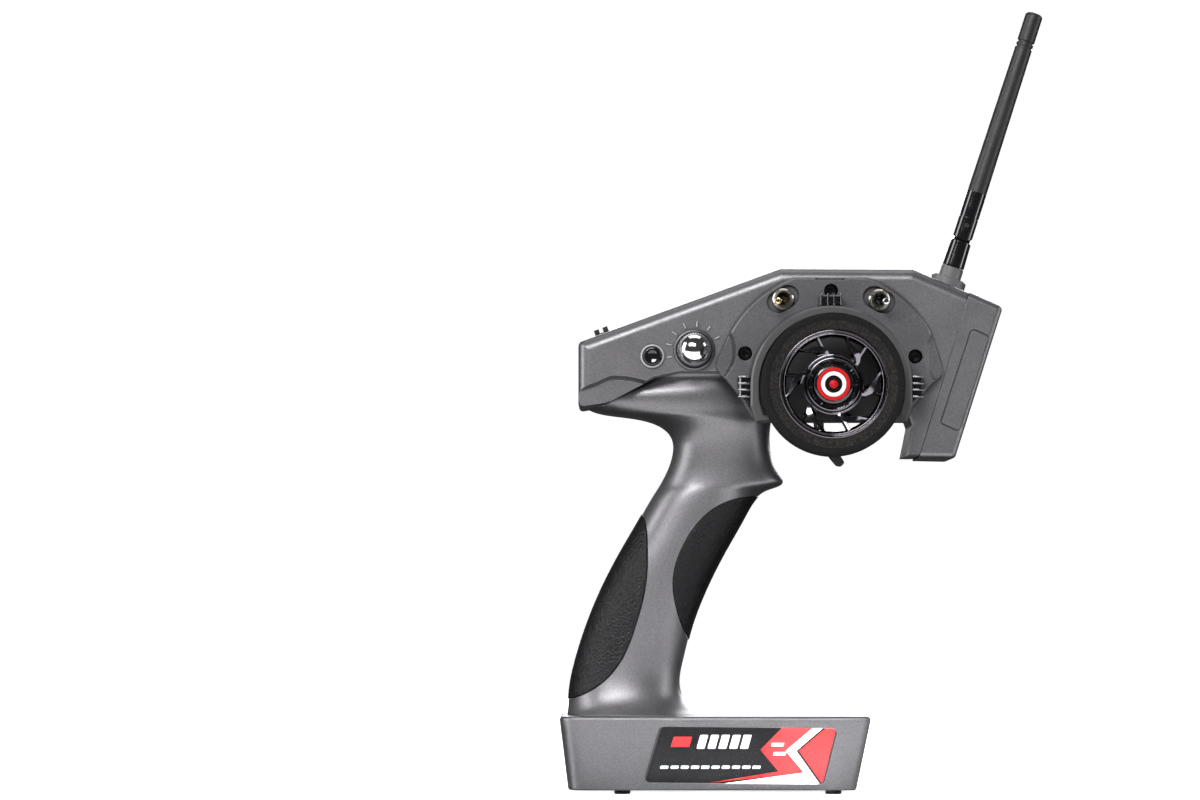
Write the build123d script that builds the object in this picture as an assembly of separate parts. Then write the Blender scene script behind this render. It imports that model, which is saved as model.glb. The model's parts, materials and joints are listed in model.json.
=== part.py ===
"""Pistol-grip radio transmitter controller for remote control models, in millimetres.

It stands on a flat battery base. A leaning grip carries a wide head with the steering wheel on its right
side (-Y), a finger trigger under the head, two toggle switches, a push button, a dial knob, a display with
keys on the rear slope, a power slider, and a folding antenna. +X points forwards, +Y to the left side and
+Z up.
"""

import math
import os

from build123d import *

# ---- Driving dimensions ----------------------------------------------------------------------------------
FRAME_SHIFT = (-0.9, 16.5, 0.0)  # from the drafting frame to the part frame, centred over the bounding box

HEAD_HALF = 27.0  # half the head's thickness
HEAD_WALL = 2.2
HEAD_ROUND = 4.5  # rounding of the head's upper edges
EDGE_ROUND = 0.8

STEER_X, STEER_Z = 11.0, 160.0  # axis of the steering wheel
PLATE_FRONT = -32.0
COLLAR_FRONT = -46.0
WHEEL_BACK, WHEEL_FRONT = -49.0, -70.5
TYRE_RADIUS, RIM_RADIUS = 27.9, 20.2
SHAFT_RADIUS = 3.0
RUNNING_CLEARANCE = 0.05

GRIP_WALL = 3.0
PAD_PROUD, PAD_DEPTH, PAD_GAP = 0.45, 1.6, 0.2

BASE_TOP, BASE_BOTTOM = 30.6, 1.6
BASE_WALL = 2.2

TRIGGER_PIVOT = (24.0, 160.0)
TRIGGER_HALF = 6.5
TRIGGER_PIN_RADIUS = 1.5

ANTENNA_LEAN = 18.0  # degrees forward from vertical
ANTENNA_PIN = (66.8, 226.0)
ANTENNA_PIN_RADIUS = 0.9

KNOB_X, KNOB_Z = -42.5, 175.1
BUTTON_X, BUTTON_Z = -59.1, 172.6

# ---- Outlines in the side view, as (x, z) ----------------------------------------------------------------
REAR_LOW, REAR_HIGH = (-88.4, 152.2), (-88.4, 178.3)
SLOPE_TOP, TOP_FRONT = (-8.3, 207.5), (44.3, 207.2)
SEAM_TOP, SEAM_BOTTOM = (66.3, 197.9), (46.2, 133.2)
COVER_TOP, COVER_BOTTOM = (79.7, 192.2), (60.5, 132.1)
BAY_CEILING = 151.5
HEAD_OUTLINE = [
    REAR_LOW, REAR_HIGH, SLOPE_TOP, TOP_FRONT, SEAM_TOP, SEAM_BOTTOM,
    (41.1, 133.2), (43.6, 145.3), (41.5, BAY_CEILING), (-12.0, BAY_CEILING), (-16.0, 166.1),
    (-48.3, 166.1), (-58.2, 164.1), (-77.9, 153.8),
]


# ---- Helpers ---------------------------------------------------------------------------------------------
def side_plane(y):
    """Plane at depth y whose local x and y are the part's X and Z, facing the wheel side."""
    return Plane(origin=(0, y, 0), x_dir=(1, 0, 0), z_dir=(0, -1, 0))


def slab(sketch, y_back, y_front):
    """A side-view sketch extruded from y_back towards the wheel side, to y_front."""
    return extrude(side_plane(y_back) * sketch, y_back - y_front)


def outline(points, corner=0.0):
    """A closed side-view polygon, with rounded corners if asked."""
    face = make_face(Polyline(*[(x, z) for x, z in points], close=True))
    return fillet(face.vertices(), corner) if corner else face


def rod(x, z, radius, y_back, y_front):
    """A cylinder along Y."""
    return slab(Pos(x, z) * Circle(radius), y_back, y_front)


def ring(x, z, outer, inner, y_back, y_front):
    return rod(x, z, outer, y_back, y_front) - rod(x, z, inner, y_back, y_front)


def box_between(low, high):
    size = [high[i] - low[i] for i in range(3)]
    return Pos(*[(high[i] + low[i]) / 2 for i in range(3)]) * Box(*size)


def save(name, *shapes):
    """Writes one node, moved into the part's frame. Several separate solids share the node."""
    solids = [s for shape in shapes for s in shape.solids()]
    moved = [Pos(*FRAME_SHIFT) * s for s in solids]
    whole = Compound(children=moved) if len(moved) > 1 else moved[0]
    whole.label = name
    export_step(whole, f"parts/{name}.step")


def side_half(shape, side):
    """The part of a shape on one side of the Y = 0 plane: side is -1 or 1."""
    return shape & Pos(0, side * 100, 150) * Box(500, 200, 500)


def coil(radius, wire, turns, pitch, base, direction):
    """A helical spring of round wire, climbing from base along direction."""
    path = Helix(pitch=pitch, height=pitch * turns, radius=radius)
    wire_face = Plane(origin=path @ 0, z_dir=path % 0) * Circle(wire)
    spring = sweep(wire_face, path=path)
    return Plane(origin=base, z_dir=direction) * spring


def screw(head_radius, shank_radius, head, shank, drive):
    """A cap screw along +Z with a hexagon socket: its head sits on z = 0 and below it hangs the shank."""
    body = Pos(0, 0, head / 2) * Cylinder(head_radius, head)
    body = chamfer(body.faces().sort_by(Axis.Z)[-1].edges(), head_radius * 0.15)
    body += Pos(0, 0, -shank / 2) * Cylinder(shank_radius, shank)
    return body - Pos(0, 0, head * 0.35) * extrude(RegularPolygon(drive, 6), head)


# ---- Head shells -----------------------------------------------------------------------------------------
FACET_CURVE = [
    (-92.0, 158.9), (-87.9, 160.5), (-82.2, 162.2), (-75.4, 165.0), (-71.6, 165.1), (-63.0, 163.5),
    (-55.0, 160.0),
]
FACET_DEPTH = 2.4
HEAD_BOSSES = [(-73.5, 169.0), (49.4, 163.5), (45.0, 193.0)]
BOSS_RADIUS = 3.2
SCREW_RADIUS = 1.05
COUNTERBORE_RADIUS, COUNTERBORE_DEPTH = 2.9, 2.6
SLOPE_ANGLE = math.degrees(math.atan2(SLOPE_TOP[1] - REAR_HIGH[1], SLOPE_TOP[0] - REAR_HIGH[0]))
SLOPE_CENTRE = ((SLOPE_TOP[0] + REAR_HIGH[0]) / 2, (SLOPE_TOP[1] + REAR_HIGH[1]) / 2)
TRIGGER_SLOT = ((0.5, -7.3), (39.0, 7.3))
KNOB_TICKS = 7
KNOB_TICK_PITCH = 28.0


def slope_plane(u=0.0, v=0.0, height=0.0):
    """Plane on the sloping roof: local x runs up the slope and local z is the outward normal."""
    angle = math.radians(SLOPE_ANGLE)
    along = Vector(math.cos(angle), 0, math.sin(angle))
    normal = Vector(-math.sin(angle), 0, math.cos(angle))
    centre = Vector(SLOPE_CENTRE[0], 0, SLOPE_CENTRE[1]) + along * u + normal * height + Vector(0, v, 0)
    return Plane(origin=centre, x_dir=along, z_dir=normal)


def slope_block(u, v, size_u, size_v, bottom, top, corner=0.0):
    """A block standing on the sloping roof, from height bottom to top over the surface."""
    profile = RectangleRounded(size_u, size_v, corner) if corner else Rectangle(size_u, size_v)
    return extrude(slope_plane(u, v, bottom) * profile, top - bottom)


def slope_rod(u, v, radius, bottom, top):
    return extrude(slope_plane(u, v, bottom) * Circle(radius), top - bottom)


def head_solid():
    body = slab(outline(HEAD_OUTLINE), HEAD_HALF, -HEAD_HALF)
    corners = [(REAR_HIGH, 2.4), (SLOPE_TOP, 5.0), (TOP_FRONT, 3.0), (REAR_LOW, 1.5)]
    for (x, z), radius in corners:
        edge = body.edges().filter_by(Axis.Y).sort_by_distance((x, 0, z))[0]
        body = fillet(edge, radius)
    upper = [e for e in body.edges().filter_by(lambda e: abs(abs(e.center().Y) - HEAD_HALF) < 0.01)
             if is_upper(e.center())]
    body = fillet(upper, HEAD_ROUND)
    lower = [e for e in body.edges().filter_by(Axis.Y, reverse=True)
             if abs(abs(e.center().Y) - HEAD_HALF) < 0.01 and is_lower(e.center())]
    return chamfer(lower, EDGE_ROUND)


def is_upper(c):
    """Whether a point of the head's outline lies on the back, the slope or the top."""
    if c.X < -88.0 and c.Z > 154:
        return True
    roof = REAR_HIGH[1] + (c.X - REAR_HIGH[0]) * math.tan(math.radians(SLOPE_ANGLE))
    return c.Z > min(roof, 207.5) - 1.5 and c.X < 62 or (c.X >= 44 and c.Z > 199)


def is_lower(c):
    """Whether a point of the head's outline lies on its underside."""
    return c.Z < 168 and c.X < 46.3 and not is_upper(c) and c.X > -88


def facet_region(grow=0.0):
    """The lower rear corner of the side, below a wavy edge."""
    wave = Spline(*[(x, z + grow) for x, z in FACET_CURVE])
    low = Polyline((FACET_CURVE[-1][0], FACET_CURVE[-1][1] + grow), (-55, 148), (-92, 148),
                   (FACET_CURVE[0][0], FACET_CURVE[0][1] + grow))
    return make_face([wave, low])


def facet_cut():
    """The stepped recess of that corner, with a sloping wall up to the wavy edge."""
    plane_out = side_plane(-HEAD_HALF - 0.1)
    plane_in = side_plane(-HEAD_HALF + FACET_DEPTH)
    return loft([plane_out * facet_region(0.0), plane_in * facet_region(-1.8)])


def make_head(plate_opening):
    outer = head_solid()
    inner_face = offset(outline(HEAD_OUTLINE), -HEAD_WALL)
    cavity = slab(inner_face, HEAD_HALF - HEAD_WALL, -HEAD_HALF + HEAD_WALL)
    cavity -= slab(facet_region(HEAD_WALL), -HEAD_HALF + FACET_DEPTH + HEAD_WALL, -HEAD_HALF)
    body = outer - cavity - facet_cut()
    boss_end = HEAD_HALF - HEAD_WALL + 0.5
    for x, z in HEAD_BOSSES:
        body += ring(x, z, BOSS_RADIUS, SCREW_RADIUS, boss_end, -boss_end)
    body -= plate_opening
    low, high = TRIGGER_SLOT
    body -= box_between((low[0], low[1], BAY_CEILING - 1), (high[0], high[1], BAY_CEILING + 4))
    body -= box_between((-66, -12, 150), (-24, 12, 170))
    body -= rod(KNOB_X, KNOB_Z, 3.6, -20, -30)
    body -= rod(BUTTON_X, BUTTON_Z, 3.95, -20, -30)
    body -= slope_block(PANEL_U, 0, PANEL_LENGTH + 0.3, PANEL_WIDTH + 0.3, PANEL_TOP - PANEL_THICK, 3, 3.1)
    body -= slope_block(PANEL_U, 0, PANEL_LENGTH - 3.4, PANEL_WIDTH - 3.4, -4, 1, 2.0)
    body -= slope_block(POWER_U, 0, 15.3, 8.3, -0.6, 3, 1.6)
    body -= slope_block(POWER_U, 0, 11.0, 5.4, -4, 1)
    body -= antenna_rod(-40, -21, 4.2)
    for x, z in HEAD_BOSSES:
        body -= rod(x, z, COUNTERBORE_RADIUS, HEAD_HALF + 1, HEAD_HALF - COUNTERBORE_DEPTH)
        body -= rod(x, z, SCREW_RADIUS, HEAD_HALF, -HEAD_HALF + HEAD_WALL + 6)
    for step in range(KNOB_TICKS):
        angle = math.radians(196.0 - KNOB_TICK_PITCH * step)
        tick = Rot(0, 0, math.degrees(angle)) * Pos(10.4, 0) * SlotOverall(2.2, 0.7)
        body += slab(Pos(KNOB_X, KNOB_Z) * tick, -HEAD_HALF + 0.5, -HEAD_HALF - 0.35)
    return side_half(body, -1), side_half(body, 1)


COVER_OUTLINE = [(66.5, 198.0), COVER_TOP, COVER_BOTTOM, (46.3, 132.4)]
COVER_PANEL = [(66.9, 184.2), (74.7, 180.6), (62.4, 142.2), (54.1, 146.0)]


def make_front_cover():
    """The nose cover: a U-shaped cap over the front of the head, with a grooved panel on each side."""
    body = slab(outline(COVER_OUTLINE), HEAD_HALF, -HEAD_HALF)
    for x, z in COVER_OUTLINE[1:3]:
        body = fillet(body.edges().filter_by(Axis.Y).sort_by_distance((x, 0, z))[0], 2.0)
    rim = [e for e in body.edges() if abs(abs(e.center().Y) - HEAD_HALF) < 0.01 and not is_seam(e.center())]
    body = fillet(rim, 2.4)
    hollow = [(52.0, 205.0), (65.0, 195.2), (76.6, 190.3), (58.8, 134.9), (48.3, 135.1), (40.0, 137.0)]
    body -= slab(outline(hollow), HEAD_HALF - HEAD_WALL, -HEAD_HALF + HEAD_WALL)
    panel = outline(COVER_PANEL, 2.0)
    groove = panel - offset(panel, -0.8)
    for side in (-1, 1):
        body -= slab(groove, side * HEAD_HALF + 0.5, side * HEAD_HALF - 0.5)
    return body - slab(outline(HEAD_OUTLINE), 40, -40)


def is_seam(c):
    """Whether a point lies on the cover's rear edge, beside the head."""
    seam_x = 46.3 + (c.Z - 132.4) * (66.5 - 46.3) / (198.0 - 132.4)
    return abs(c.X - seam_x) < 1.0


# ---- Steering unit ---------------------------------------------------------------------------------------
PLATE_RADIUS = 46.0
PLATE_TOP, PLATE_LOW = 203.6, 148.3
PLATE_LEFT = [
    (-28.1, 182.0), (-33.0, 171.6), (-33.9, 168.5), (-31.8, 165.2), (-24.8, 156.7), (-19.8, PLATE_LOW),
]
PLATE_RIGHT = [(40.0, PLATE_LOW), (43.2, 152.1), (50.9, 161.2), (55.3, 165.2), (55.3, 167.8), (50.3, 182.9)]
LEDGE_LEFT = [
    (-44.0, 183.4), (-28.2, 183.4), (-26.5, 179.2), (-25.8, 175.2), (-26.0, 171.7), (-27.1, 168.6),
    (-28.9, 165.9), (-30.4, 163.8), (-44.0, 163.8),
]
LEDGE_RIGHT = [
    (64.0, 182.9), (51.0, 182.9), (48.9, 177.4), (48.2, 173.4), (48.3, 170.2), (49.3, 166.5),
    (50.7, 164.1), (52.4, 162.0), (64.0, 162.0),
]
LEDGE_DEPTH, LEDGE_SLOPE = 2.0, 1.8
PLATE_WALL = 2.2
PLATE_SCREWS = [(11.4, 198.2), (-22.5, 173.5), (44.6, 172.3)]
PLATE_SCREW_SINK = 3.0
SCREW_POST_RADIUS = 4.4
TOGGLES = [(-7.5, 195.0, 30.0, 1), (30.4, 194.7, -28.0, -1)]
COLLAR_RADIUS, COLLAR_INNER = 31.7, 28.6
COLLAR_LOW = 146.0
COLLAR_CLIP_HALF = 3.9
BEARING_RADIUS, BEARING_WIDTH = 5.0, 3.0
BEARING_INNER_Y, BEARING_OUTER_Y = -27.0, -36.0


def plate_outline():
    arc_left, arc_right = PLATE_LEFT[0], PLATE_RIGHT[-1]
    top = ThreePointArc(arc_right, (STEER_X, STEER_Z + PLATE_RADIUS), arc_left)
    face = make_face([top, Polyline(*PLATE_LEFT, *PLATE_RIGHT)])
    return face & Pos(STEER_X, PLATE_TOP - 50) * Rectangle(200, 100)


def collar_outline(radius, low, chamfer_x):
    left, right = STEER_X - radius, STEER_X + radius
    side_low = low + 6.3
    arc = ThreePointArc((right, STEER_Z), (STEER_X, STEER_Z + radius), (left, STEER_Z))
    sides = Polyline((left, STEER_Z), (left, side_low), (left + chamfer_x, low),
                     (right - chamfer_x, low), (right, side_low), (right, STEER_Z))
    return make_face([arc, sides])


def ledge_cut(brim, slope):
    """A ledge's recess, with a wall that slopes from the brim down to the floor."""
    floor = [(x + slope, z) for x, z in brim]
    plane_out, plane_in = side_plane(PLATE_FRONT - 0.05), side_plane(PLATE_FRONT + LEDGE_DEPTH)
    return loft([plane_out * outline(brim), plane_in * outline(floor)])


def make_steering_plate():
    face = plate_outline()
    body = slab(face, -HEAD_HALF, PLATE_FRONT)
    front = body.faces().sort_by(Axis.Y)[0]
    body = chamfer(front.edges(), 0.7)
    pocket = slab(offset(face, -PLATE_WALL), -HEAD_HALF, PLATE_FRONT + PLATE_WALL)
    for x, z, _, _ in TOGGLES:
        pocket -= rod(x, z, 9.0, -20, -40)
    for x, z in PLATE_SCREWS:
        pocket -= rod(x, z, SCREW_POST_RADIUS, -20, -40)
    for ledge in (LEDGE_LEFT, LEDGE_RIGHT):
        pocket -= slab(offset(outline(ledge), PLATE_WALL), -20, -40)
    body -= pocket
    body -= ledge_cut(LEDGE_LEFT, -LEDGE_SLOPE) + ledge_cut(LEDGE_RIGHT, LEDGE_SLOPE)
    for x, z, lean, _ in TOGGLES:
        recess = Pos(x, z) * Rot(0, 0, lean) * SlotOverall(13.4, 9.0)
        body -= slab(recess, PLATE_FRONT + 1.5, -40)
        body -= rod(x, z, 3.1, -20, -40)
    for x, z in PLATE_SCREWS:
        body -= rod(x, z, 2.85, PLATE_FRONT + PLATE_SCREW_SINK, -40)
        body -= rod(x, z, 1.55, -20, -40)
    body -= slab(Pos(STEER_X, PLATE_TOP) * Rectangle(11.6, 2.0), PLATE_FRONT + 2.5, -40)
    return body - rod(STEER_X, STEER_Z, 12.0, -20, -40)


def make_plate_opening():
    """The window in the head's side wall that the steering unit covers."""
    window = offset(plate_outline(), -4.6)
    window &= Pos(STEER_X, 200) * Rectangle(200, 2 * (200 - BAY_CEILING - HEAD_WALL))
    opening = slab(window, -HEAD_HALF + HEAD_WALL + 0.3, -HEAD_HALF - 1)
    for x, z in PLATE_SCREWS:
        opening -= rod(x, z, SCREW_POST_RADIUS, -20, -40)
        outward = Plane(origin=(x, 0, z), x_dir=(x - STEER_X, 0, z - STEER_Z), z_dir=(0, -1, 0))
        opening -= outward * Pos(6, 0, 30) * Box(12, 6.5, 20)
        opening += rod(x, z, SCREW_RADIUS, -20, -40)
    for x, z, _, _ in TOGGLES:
        opening += rod(x, z, 4.1, -HEAD_HALF + HEAD_WALL + 0.3, -HEAD_HALF - 1)
    return opening


def make_collar():
    """The arch-shaped cup behind the wheel, with the front bearing's boss on its floor."""
    body = slab(collar_outline(COLLAR_RADIUS, COLLAR_LOW, 2.2), PLATE_FRONT, COLLAR_FRONT)
    front = body.faces().sort_by(Axis.Y)[0]
    body = chamfer(front.edges(), 0.8)
    body -= slab(collar_outline(COLLAR_INNER, COLLAR_LOW + 2.6, 1.8), PLATE_FRONT - 3.0, -60)
    body += rod(STEER_X, STEER_Z, 9.5, BEARING_INNER_Y, COLLAR_FRONT + 6.0)
    body += rod(STEER_X, STEER_Z, 11.8, PLATE_FRONT + 4.0, PLATE_FRONT)
    body -= rod(STEER_X, STEER_Z, BEARING_RADIUS, BEARING_OUTER_Y, -60)
    body -= rod(STEER_X, STEER_Z, BEARING_RADIUS, BEARING_INNER_Y + 1, BEARING_INNER_Y - BEARING_WIDTH)
    return body - rod(STEER_X, STEER_Z, 4.5, -20, -60)


def make_clips():
    """Three latches on the plate that hold the collar: top, rear and front."""
    clips = []
    reach = COLLAR_RADIUS + 0.05
    height = 11.0
    ribs = [(-COLLAR_CLIP_HALF, 1), (-1.25, height - 3), (1.25, height - 3), (COLLAR_CLIP_HALF, 1)]
    for angle in (90, 180, 0):
        block = box_between((reach, -COLLAR_CLIP_HALF, 0), (reach + 4.3, COLLAR_CLIP_HALF, height))
        block = chamfer(block.faces().sort_by(Axis.Z)[-1].edges(), 0.6)
        for across, low in ribs:
            rib_low, rib_high = (reach + 0.3, across - 0.35, low), (reach + 4.9, across + 0.35, height + 0.4)
            block += box_between(rib_low, rib_high)
        clips.append(side_plane(PLATE_FRONT) * Rot(0, 0, angle) * block)
    return [Pos(STEER_X, 0, STEER_Z) * clip for clip in clips]


SPOKE_GROUPS = [108, 48, -12, -72, -132, 168]  # degrees from +X
SPOKE_SPREAD = 27.0
HUB_RADIUS = 11.3


def polar(radius, angle):
    turn = math.radians(angle)
    return (STEER_X + radius * math.cos(turn), STEER_Z + radius * math.sin(turn))


def spoke_arm(start, end, width):
    """A straight arm between two side-view points."""
    dx, dz = end[0] - start[0], end[1] - start[1]
    length = math.hypot(dx, dz)
    nx, nz = -dz / length * width / 2, dx / length * width / 2
    return outline([(start[0] + nx, start[1] + nz), (end[0] + nx, end[1] + nz),
                    (end[0] - nx, end[1] - nz), (start[0] - nx, start[1] - nz)])


def make_wheel_rim():
    body = ring(STEER_X, STEER_Z, RIM_RADIUS, RIM_RADIUS - 1.9, WHEEL_BACK - 0.5, WHEEL_FRONT + 0.6)
    body += ring(STEER_X, STEER_Z, RIM_RADIUS + 0.5, RIM_RADIUS - 1.4, WHEEL_FRONT + 2.2, WHEEL_FRONT + 0.2)
    body += rod(STEER_X, STEER_Z, HUB_RADIUS, WHEEL_BACK - 3.0, WHEEL_FRONT + 5.0)
    body += rod(STEER_X, STEER_Z, 9.8, WHEEL_FRONT + 6.0, WHEEL_FRONT + 3.4)
    for angle in SPOKE_GROUPS:
        tip, knee = polar(18.6, angle + SPOKE_SPREAD), polar(15.4, angle + 0.7)
        root_near, root_far = polar(10.6, angle - 9), polar(10.6, angle + 8.6)
        blade = spoke_arm(root_near, knee, 2.2) + spoke_arm(knee, tip, 1.8) + spoke_arm(root_far, tip, 1.6)
        blade += spoke_arm(knee, polar(18.9, angle), 1.6)
        body += slab(blade, WHEEL_FRONT + 14.0, WHEEL_FRONT + 4.6)
        body += slab(outline([root_near, root_far, tip, knee]), WHEEL_FRONT + 14.0, WHEEL_FRONT + 7.0)
    body -= rod(STEER_X, STEER_Z, 7.9, WHEEL_FRONT + 5.6, -80)
    body -= rod(STEER_X, STEER_Z, 4.0, WHEEL_FRONT + 7.6, -80)
    return body - rod(STEER_X, STEER_Z, SHAFT_RADIUS, -40, -80)


def make_wheel_tyre():
    body = rod(STEER_X, STEER_Z, TYRE_RADIUS, WHEEL_BACK, WHEEL_FRONT)
    body = fillet(body.edges().filter_by(GeomType.CIRCLE), 2.6)
    body -= rod(STEER_X, STEER_Z, RIM_RADIUS, -40, -80)
    return body - rod(STEER_X, STEER_Z, RIM_RADIUS + 0.6, WHEEL_FRONT + 2.3, -80)


def make_wheel_cap():
    """The hub cap: a shallow dome carrying raised rings."""
    front = WHEEL_FRONT + 2.6
    body = rod(STEER_X, STEER_Z, 7.8, WHEEL_FRONT + 5.5, front + 0.6)
    body = chamfer(body.faces().sort_by(Axis.Y)[0].edges(), 0.5)
    for outer, inner, height in ((6.4, 4.9, 0.3), (3.2, 1.6, 0.3), (1.6, 0.0, 0.6)):
        band = rod(STEER_X, STEER_Z, outer, front + 0.8, front + 0.6 - height)
        body += band - rod(STEER_X, STEER_Z, inner, 0, -90) if inner else band
    return body - rod(STEER_X, STEER_Z, 4.6, WHEEL_FRONT + 6.0, WHEEL_FRONT + 4.2)


SHAFT_BACK = -10.8


def make_wheel_shaft():
    body = rod(STEER_X, STEER_Z, SHAFT_RADIUS, SHAFT_BACK, WHEEL_FRONT + 8.0)
    body += rod(STEER_X, STEER_Z, 4.4, WHEEL_BACK + 0.4, WHEEL_BACK - 3.0)
    return body - rod(STEER_X, STEER_Z, 1.2, WHEEL_FRONT + 20.0, -80)


def make_wheel_screw():
    seat = Plane(origin=(STEER_X, WHEEL_FRONT + 7.6, STEER_Z), z_dir=(0, -1, 0))
    return seat * screw(3.6, 1.2, 2.6, 9.0, 1.3)


def make_bearings():
    """Two ball bearings seen as an inner race, an outer race and a shield each."""
    bearings = []
    for y in (BEARING_INNER_Y, BEARING_OUTER_Y):
        race = ring(STEER_X, STEER_Z, BEARING_RADIUS, SHAFT_RADIUS + RUNNING_CLEARANCE, y, y - BEARING_WIDTH)
        race -= ring(STEER_X, STEER_Z, 4.4, 3.7, y - BEARING_WIDTH + 0.4, y - BEARING_WIDTH - 1)
        bearings.append(race)
    return bearings


def make_steering_potentiometer():
    """Rotary sensor on the inner end of the shaft, with a bearing pocket and mounting ears."""
    body = rod(STEER_X, STEER_Z, 6.1, SHAFT_BACK + 0.8, -20.0)
    body += rod(STEER_X, STEER_Z, 5.6, -19.5, BEARING_INNER_Y)
    body += slab(Pos(STEER_X, STEER_Z) * Rectangle(26.0, 6.4), -22.0, -24.4)
    body += box_between((STEER_X - 5, -20, STEER_Z + 4), (STEER_X + 5, -12, STEER_Z + 11.0))
    body -= rod(STEER_X, STEER_Z, 4.2, -21, -40)
    return body - rod(STEER_X, STEER_Z, SHAFT_RADIUS + RUNNING_CLEARANCE, SHAFT_BACK + 0.1, -40)


def make_steering_spring():
    return coil(3.8, 0.35, 4, 1.2, (STEER_X, -35.5, STEER_Z), (0, 1, 0))


# ---- Toggle switches -------------------------------------------------------------------------------------
TOGGLE_PIVOT_Y = -29.8
TOGGLE_PIN_RADIUS = 0.7
LEVER_REACH = 11.2
LEVER_REST = 12.0


def toggle_frame(x, z, lean, y):
    """Plane across a toggle's bushing: local x along its throw, local z outwards."""
    direction = Vector(math.cos(math.radians(lean)), 0, math.sin(math.radians(lean)))
    return Plane(origin=(x, y, z), x_dir=direction, z_dir=(0, -1, 0))


def make_toggle_body(x, z, lean):
    frame = toggle_frame(x, z, lean, TOGGLE_PIVOT_Y)
    body = Pos(0, 0, -6.3 - 5.5) * Box(12.4, 8.0, 11.0)
    body += Pos(0, 0, -4.6) * Cylinder(3.9, 3.6)
    body += Pos(0, 0, 1.2) * Cylinder(3.0, 8.0)
    body -= Pos(0, 0, 2.6) * Cone(1.5, 2.65, 5.4)
    body -= Sphere(1.75)
    body -= Rot(90, 0, 0) * Cylinder(TOGGLE_PIN_RADIUS + RUNNING_CLEARANCE, 5.0)
    for pin in (-4.2, 0, 4.2):
        body += Pos(pin, 0, -18.9) * Box(0.9, 1.6, 3.4)
    return frame * body


def make_toggle_nut(x, z, lean):
    frame = toggle_frame(x, z, lean, PLATE_FRONT + 1.5)
    body = Pos(0, 0, 1.3) * Cylinder(4.15, 2.6)
    body = chamfer(body.faces().sort_by(Axis.Z)[-1].edges(), 0.5)
    body -= Cylinder(3.0, 20)
    for angle in (0, 90):
        body -= Rot(0, 0, angle) * Pos(0, 0, 2.3) * Box(10, 1.1, 1.2)
    return frame * body


def make_toggle_lever(x, z, lean, side):
    """A bat lever at its rest lean, pivoting on a small ball with a cross pin."""
    frame = toggle_frame(x, z, lean, TOGGLE_PIVOT_Y)
    lever = Sphere(1.45) + Rot(90, 0, 0) * Cylinder(TOGGLE_PIN_RADIUS, 4.6)
    lever += Pos(0, 0, LEVER_REACH / 2) * Cone(0.75, 1.05, LEVER_REACH)
    lever += Pos(0, 0, LEVER_REACH) * Sphere(1.45)
    return frame * Rot(0, -LEVER_REST * side, 0) * lever


# ---- Knob and push button --------------------------------------------------------------------------------
def make_knob_ring():
    body = ring(KNOB_X, KNOB_Z, 8.2, 3.6, -HEAD_HALF, -HEAD_HALF - 1.2)
    return chamfer(body.faces().sort_by(Axis.Y)[0].edges().sort_by(SortBy.LENGTH)[-1], 0.5)


def make_knob_cap():
    """A domed dial with fine grip ribs round its skirt and a pointer notch."""
    body = rod(KNOB_X, KNOB_Z, 6.7, -HEAD_HALF - 1.6, -HEAD_HALF - 10.0)
    body = fillet(body.faces().sort_by(Axis.Y)[0].edges(), 5.6)
    for step in range(24):
        angle = math.radians(step * 15)
        body -= rod(KNOB_X + 7.0 * math.cos(angle), KNOB_Z + 7.0 * math.sin(angle), 0.55, -20, -31.0)
    return body - rod(KNOB_X, KNOB_Z, 3.0, -20, -34)


def make_knob_shaft():
    return rod(KNOB_X, KNOB_Z, 3.0, -17.2, -34)


def make_knob_potentiometer():
    body = rod(KNOB_X, KNOB_Z, 6.3, -14.6, -24.7)
    body -= rod(KNOB_X, KNOB_Z, 3.0 + RUNNING_CLEARANCE, -16.6, -40)
    return body + box_between((KNOB_X - 4, -18.6, KNOB_Z + 5.5), (KNOB_X + 4, -17.6, KNOB_Z + 9.0))


def make_button_bezel():
    body = ring(BUTTON_X, BUTTON_Z, 4.75, 3.98, -HEAD_HALF + HEAD_WALL, -HEAD_HALF - 1.0)
    body -= ring(BUTTON_X, BUTTON_Z, 6.0, 3.9, -HEAD_HALF, -20) - rod(BUTTON_X, BUTTON_Z, 3.9, -20, -40)
    return chamfer(body.faces().sort_by(Axis.Y)[0].edges().sort_by(SortBy.LENGTH)[-1], 0.4)


def make_button_cap():
    body = rod(BUTTON_X, BUTTON_Z, 3.6, -23.4, -HEAD_HALF - 1.9)
    body = fillet(body.faces().sort_by(Axis.Y)[0].edges(), 0.7)
    return body + rod(BUTTON_X, BUTTON_Z, 1.5, -19.6, -23.4)


def make_button_switch():
    body = box_between((BUTTON_X - 4.5, -19.3, BUTTON_Z - 4.5), (BUTTON_X + 4.5, -12.0, BUTTON_Z + 4.5))
    body = chamfer(body.edges().filter_by(Axis.Y), 0.5)
    body += ring(BUTTON_X, BUTTON_Z, 3.6, 1.6, -19.0, -20.6)
    body -= rod(BUTTON_X, BUTTON_Z, 1.6, -17.2, -22)
    return body


# ---- Roof: display panel, keys, trims and power slider ---------------------------------------------------
PANEL_U, PANEL_LENGTH, PANEL_WIDTH = 7.5, 58.0, 41.0
PANEL_TOP, PANEL_THICK = -0.9, 1.6
LENS_U, LENS_LENGTH, LENS_WIDTH = 20.5, 27.0, 36.0
KEY_U, KEY_RADIUS = -1.2, 3.0
KEY_STEPS = [-13.8, -4.6, 4.6, 13.8]
TRIM_U, TRIM_LENGTH, TRIM_WIDTH = -12.0, 5.6, 15.0
TRIM_STEPS = [-10.0, 10.0]
POWER_U = -30.5
POWER_TRAVEL = 3.5


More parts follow.
